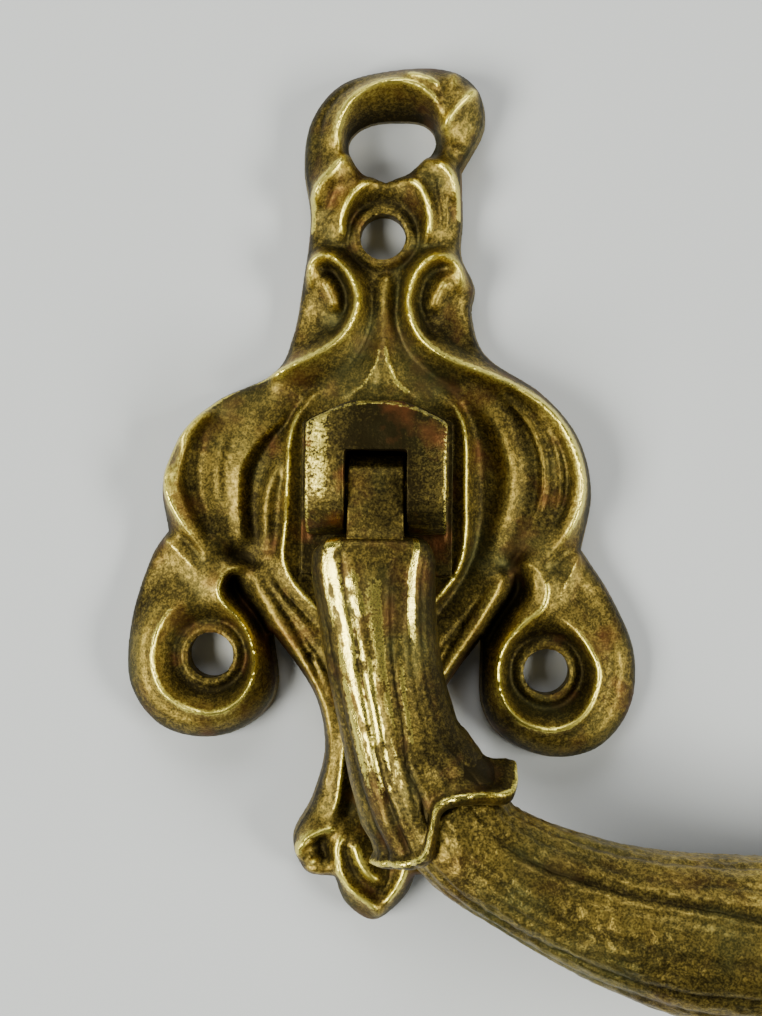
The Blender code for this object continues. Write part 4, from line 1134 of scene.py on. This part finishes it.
def turned_mesh(name, profile, middle, sides=64):
    """A solid turned about X: profile of (distance along the axis, radius), both ends at radius 0."""
    work = bmesh.new()
    turn = Vector((1, 0, 0)).to_track_quat("Z", "Y").to_matrix().to_4x4()
    spin = [work.verts.new((r, 0, h)) for h, r in profile]
    for a, b in zip(spin, spin[1:]):
        work.edges.new((a, b))
    bmesh.ops.spin(work, geom=work.verts[:] + work.edges[:], cent=(0, 0, 0), axis=(0, 0, 1),
                   angle=2 * math.pi, steps=sides, use_merge=True)
    bmesh.ops.remove_doubles(work, verts=work.verts, dist=1e-4)
    bmesh.ops.transform(work, verts=work.verts, matrix=Matrix.Translation(middle) @ turn)
    return finished(work, name, 40)


# ---- materials

BRIGHT = (0.94, 0.81, 0.17)
GOLD = (0.35, 0.255, 0.055)
OLIVE = (0.100, 0.076, 0.020)
DARK = (0.026, 0.020, 0.008)
RUST = (0.14, 0.054, 0.020)
VERDIGRIS = (0.10, 0.11, 0.040)
TARNISH = [(0.0, DARK), (0.28, OLIVE), (0.60, GOLD), (0.98, BRIGHT)]

# Kinds of noise, as (scale, detail, level that reads as 0, level that reads as 1)
CLOUDS = (150.0, 5.0, 0.36, 0.64)
SPECKS = (1800.0, 6.0, 0.38, 0.62)
GRAIN = (4500.0, 3.0, 0.40, 0.60)
RUST_SPOTS = (210.0, 4.0, 0.52, 0.70)
GREEN_SPOTS = (95.0, 3.0, 0.48, 0.68)


class Shading:
    """A new material's node tree, with short ways to build it."""

    def __init__(self, name):
        self.material = bpy.data.materials.new(name)
        self.material.use_nodes = True
        self.nodes = self.material.node_tree.nodes

    def feed(self, socket, value):
        """Gives a socket a number, a colour or another node's output."""
        if isinstance(value, (int, float)):
            socket.default_value = value
        elif isinstance(value, tuple):
            socket.default_value = (*value, 1.0)
        else:
            self.material.node_tree.links.new(value, socket)

    def node(self, kind, inputs=(), **settings):
        """A node with some settings, and (input name, value) pairs fed in."""
        made = self.nodes.new(kind)
        for key, value in settings.items():
            setattr(made, key, value)
        for name, value in inputs:
            self.feed(next(s for s in made.inputs if s.name == name and s.enabled), value)
        return made

    def maths(self, operation, *values, clamp=False):
        made = self.node("ShaderNodeMath", operation=operation, use_clamp=clamp)
        for socket, value in zip(made.inputs, values):
            self.feed(socket, value)
        return made.outputs[0]

    def ramp(self, source, stops):
        """A colour ramp fed by a socket; stops are (position, colour)."""
        made = self.node("ShaderNodeValToRGB", [("Fac", source)])
        elements = made.color_ramp.elements
        while len(elements) < len(stops):
            elements.new(0.5)
        for element, (position, colour) in zip(elements, stops):
            element.position = position
            element.color = (*colour, 1.0)
        return made.outputs["Color"]

    def mix(self, amount, a, b):
        made = self.node("ShaderNodeMix", [("Factor", amount), ("A", a), ("B", b)], data_type="RGBA")
        return next(s for s in made.outputs if s.enabled)

    def speckle(self, coords, scale, detail, low, high):
        """Noise with its contrast pulled between two levels."""
        made = self.node("ShaderNodeTexNoise", [("Vector", coords), ("Scale", scale), ("Detail", detail)])
        levels = [("Value", made.outputs["Fac"]), ("From Min", low), ("From Max", high)]
        return self.node("ShaderNodeMapRange", levels).outputs["Result"]


def brass(name, tone, red, green, roughness, polish=0.10):
    """Aged cast brass: bright where it is rubbed and where a highlight is painted, brown and greenish
    elsewhere, darker with patina and painted shade, and finely pitted.

    `tone` is how light the tarnish is, `red` and `green` how strong its spots are, and `polish` how much
    smoother than `roughness` the rubbed places are.
    """
    look = Shading(name)
    maths = look.maths
    shader = look.nodes["Principled BSDF"]
    coords = look.node("ShaderNodeTexCoord").outputs["Object"]
    wear_and_sheen = look.node("ShaderNodeAttribute", attribute_name="wear_and_sheen").outputs["Fac"]
    patina_and_shade = look.node("ShaderNodeAttribute", attribute_name="patina_and_shade").outputs["Fac"]
    clouds, specks, grain, rust_spots, green_spots = (
        look.speckle(coords, *kind) for kind in (CLOUDS, SPECKS, GRAIN, RUST_SPOTS, GREEN_SPOTS)
    )
    patchy = maths("ADD", maths("MULTIPLY", specks, 0.40), maths("MULTIPLY_ADD", grain, 0.45, 0.62))
    # the mesh's rubbed places and painted highlights, broken up by the pits; below they lighten the tarnish
    # and mix in bright metal
    wear_and_sheen = maths("SUBTRACT", maths("MULTIPLY", wear_and_sheen, patchy), 0.35)
    wear_and_sheen = maths("MULTIPLY", wear_and_sheen, 3.0, clamp=True)

    level = maths("MULTIPLY_ADD", clouds, 0.20, tone - 0.31)
    level = maths("ADD", level, maths("MULTIPLY", specks, 0.22))
    level = maths("ADD", level, maths("MULTIPLY", grain, 0.22))
    # darker from patina in recesses and from painted shade, as the mesh attribute gives them
    level = maths("SUBTRACT", level, maths("MULTIPLY", patina_and_shade, 0.42))
    level = maths("ADD", level, maths("MULTIPLY", wear_and_sheen, 0.30), clamp=True)
    colour = look.ramp(level, TARNISH)
    colour = look.mix(maths("MULTIPLY", rust_spots, red), colour, RUST)
    colour = look.mix(maths("MULTIPLY", green_spots, green), colour, VERDIGRIS)
    colour = look.mix(maths("MULTIPLY", wear_and_sheen, 0.85, clamp=True), colour, BRIGHT)
    look.feed(shader.inputs["Base Color"], colour)
    shader.inputs["Metallic"].default_value = 1.0

    gloss = maths("SUBTRACT", roughness + 0.14, maths("MULTIPLY", level, 0.14))
    gloss = maths("SUBTRACT", gloss, maths("MULTIPLY", wear_and_sheen, polish))
    look.feed(shader.inputs["Roughness"], maths("ADD", gloss, maths("MULTIPLY", grain, 0.08)))

    pits = maths("ADD", maths("MULTIPLY", specks, 0.6), maths("MULTIPLY", grain, 0.4))
    bump = look.node("ShaderNodeBump", [("Strength", 0.22), ("Distance", 0.00012), ("Height", pits)])
    look.feed(shader.inputs["Normal"], bump.outputs["Normal"])
    return look.material


plate_brass = brass("plate_brass_aged", tone=0.28, red=0.60, green=0.30, roughness=0.38, polish=0.11)
# the arm's material also shows its painted highlight bands and painted shade
bail_brass = brass("bail_brass_rubbed_and_painted_light", tone=0.42, red=0.35, green=0.40, roughness=0.34, polish=0.18)
grip_brass = brass("grip_brass_dull", tone=0.47, red=0.25, green=0.40, roughness=0.29)
lug_brass = brass("lug_brass_filed", tone=0.20, red=1.0, green=0.10, roughness=0.34)
pin_brass = brass("pin_brass_drawn", tone=0.55, red=0.30, green=0.10, roughness=0.30)


# ---- placement


def piece(name, mesh, material, body, replaced, mirrored=False):
    """Puts a millimetre mesh in the frame, on the left or mirrored to the right, riding on its body."""
    if mirrored:
        mesh = mesh.copy()
        mesh.transform(Matrix.Diagonal((-1.0, 1.0, 1.0, 1.0)))
        mesh.flip_normals()
    shift = -PLATE_X if mirrored else PLATE_X
    mesh.transform(Matrix.Scale(MM, 4) @ Matrix.Translation((shift, 0.0, 0.0)))
    made = add_object(name, mesh)
    mesh.materials.clear()
    mesh.materials.append(material)
    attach(made, body)
    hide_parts(replaced)
    return made


plate = plate_mesh("backplate_relief")
for side in ("right", "left"):
    mirrored = side == "right"
    made = piece(f"{side}_backplate_cast", plate, plate_brass, "plates", f"{side}_backplate", mirrored)

arm = joined(arm_mesh("arm_body"), tongue_mesh("arm_tongue"))
smooth_but_for(arm, 60)
lug = worn_copy("left_hinge_lug", 0.17, 4, lug_shape)
pin_profile = [(inset - PIN_REACH, radius) for inset, radius in PIN_END]
pin_profile += [(-along, radius) for along, radius in reversed(pin_profile)]
pin = turned_mesh("hinge_pin", pin_profile, (0, -PIN_FAR, 0))
for side in ("right", "left"):
    mirrored = side == "right"
    made = piece(f"{side}_arm_fluted", arm, bail_brass, "bail", f"{side}_arm", mirrored)
    made = piece(f"{side}_lug_filed", lug, lug_brass, "plates", f"{side}_hinge_lug", mirrored)
    made = piece(f"{side}_pin_turned", pin, pin_brass, "plates", f"{side}_hinge_pin", mirrored)
grip = grip_mesh("grip_body")
grip.shade_smooth()
made = piece("grip_fluted", grip, grip_brass, "bail", "grip")
for name in ("left_lug_washer", "right_lug_washer", "left_grip_pin", "right_grip_pin"):
    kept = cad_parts[name].data
    kept.materials.clear()
    kept.materials.append(pin_brass)


# ---- stage, lights, camera

SUBJECT = (-0.05, 0.0, 0.0)
WINDOW_LIGHT = (1.0, 0.97, 0.82)
# Each light's name, place, width and height, power and colour
LIGHTS = [
    ("window", (-0.70, -0.64, -0.24), (0.38, 0.60), 13.5, WINDOW_LIGHT),
    ("second_window", (0.64, -0.52, -0.16), (0.20, 0.50), 8.0, WINDOW_LIGHT),
    ("ceiling", (-0.10, -0.50, 0.66), (0.5, 0.30), 3.0, (1.0, 0.98, 0.90)),
    ("behind", (0.3, 0.9, 0.4), (0.8, 0.8), 8.0, (1.0, 1.0, 1.0)),
]
PAPER = (0.60, 0.635, 0.70)
PAPER_HALF = 0.9
PAPER_Y = 0.0006  # just behind the plates' backs
PAPER_LAP = 1.3  # mm of paper behind the edge of a plate
CAMERA_PLACE = ((PLATE_X + 5.6) * MM, -0.200, -0.0021)
CAMERA_TURN = (90, -0.69, 1.55)  # degrees


def backdrop():
    """The pale surface that the knocker lies on, open behind the plates, seen only from its front."""
    edge = smooth_line(OUTLINE, 0.8, True, OUTLINE_CORNERS)
    eye = smooth_line(EYE, 0.8, True, EYE_CORNERS)
    middle = eye.mean(0)
    turn = np.linspace(0, 2 * math.pi, 32, endpoint=False)
    ring = np.stack([np.cos(turn), np.sin(turn)], 1)
    cuts = [edge + PAPER_LAP * way_in(edge[:, 0], edge[:, 1], 0.4), middle + (eye - middle) * 1.25]
    cuts += [hole + ring * (HOLE_R + 0.9) for hole in SCREW_HOLES]
    half = PAPER_HALF
    lines = [np.array([(-half, -half), (half, -half), (half, half), (-half, half)])]
    for side in (1, -1):
        lines += [(cut + (PLATE_X, 0)) * (side * MM, MM) for cut in cuts]
    work = bmesh.new()
    fill_between(work, [[work.verts.new((u, PAPER_Y, v)) for u, v in line] for line in lines])
    mesh = finished(work, "backdrop")
    if mesh.polygons[0].normal.y > 0:
        mesh.flip_normals()
    made = add_object("backdrop", mesh)
    look = Shading("pale_paper")
    look.nodes.remove(look.nodes["Principled BSDF"])
    blend = look.node("ShaderNodeMixShader")
    parts = (
        look.node("ShaderNodeNewGeometry").outputs["Backfacing"],
        look.node("ShaderNodeBsdfDiffuse", [("Color", PAPER)]).outputs[0],
        look.node("ShaderNodeBsdfTransparent").outputs[0],
    )
    for socket, part in zip(blend.inputs, parts):
        look.feed(socket, part)
    look.feed(look.nodes["Material Output"].inputs["Surface"], blend.outputs[0])
    mesh.materials.append(look.material)


backdrop()
world = bpy.data.worlds.new("studio")
world.use_nodes = True
sky = world.node_tree.nodes["Background"]
sky.inputs["Color"].default_value = (0.80, 0.86, 0.92, 1.0)
sky.inputs["Strength"].default_value = 0.07
bpy.context.scene.world = world

for name, place, size, power, colour in LIGHTS:
    light = bpy.data.lights.new(name, "AREA")
    light.shape = "RECTANGLE"
    light.size, light.size_y = size
    light.energy = power
    light.color = colour
    lamp = add_object(name, light)
    lamp.location = place
    lamp.rotation_euler = (Vector(SUBJECT) - Vector(place)).to_track_quat("-Z", "Y").to_euler()

camera = add_object("camera", bpy.data.cameras.new("camera"))
camera.data.lens = 60.3
camera.data.sensor_width = 36.0
camera.data.clip_start = 0.01
camera.location = CAMERA_PLACE
camera.rotation_euler = [math.radians(angle) for angle in CAMERA_TURN]
bpy.context.scene.camera = camera
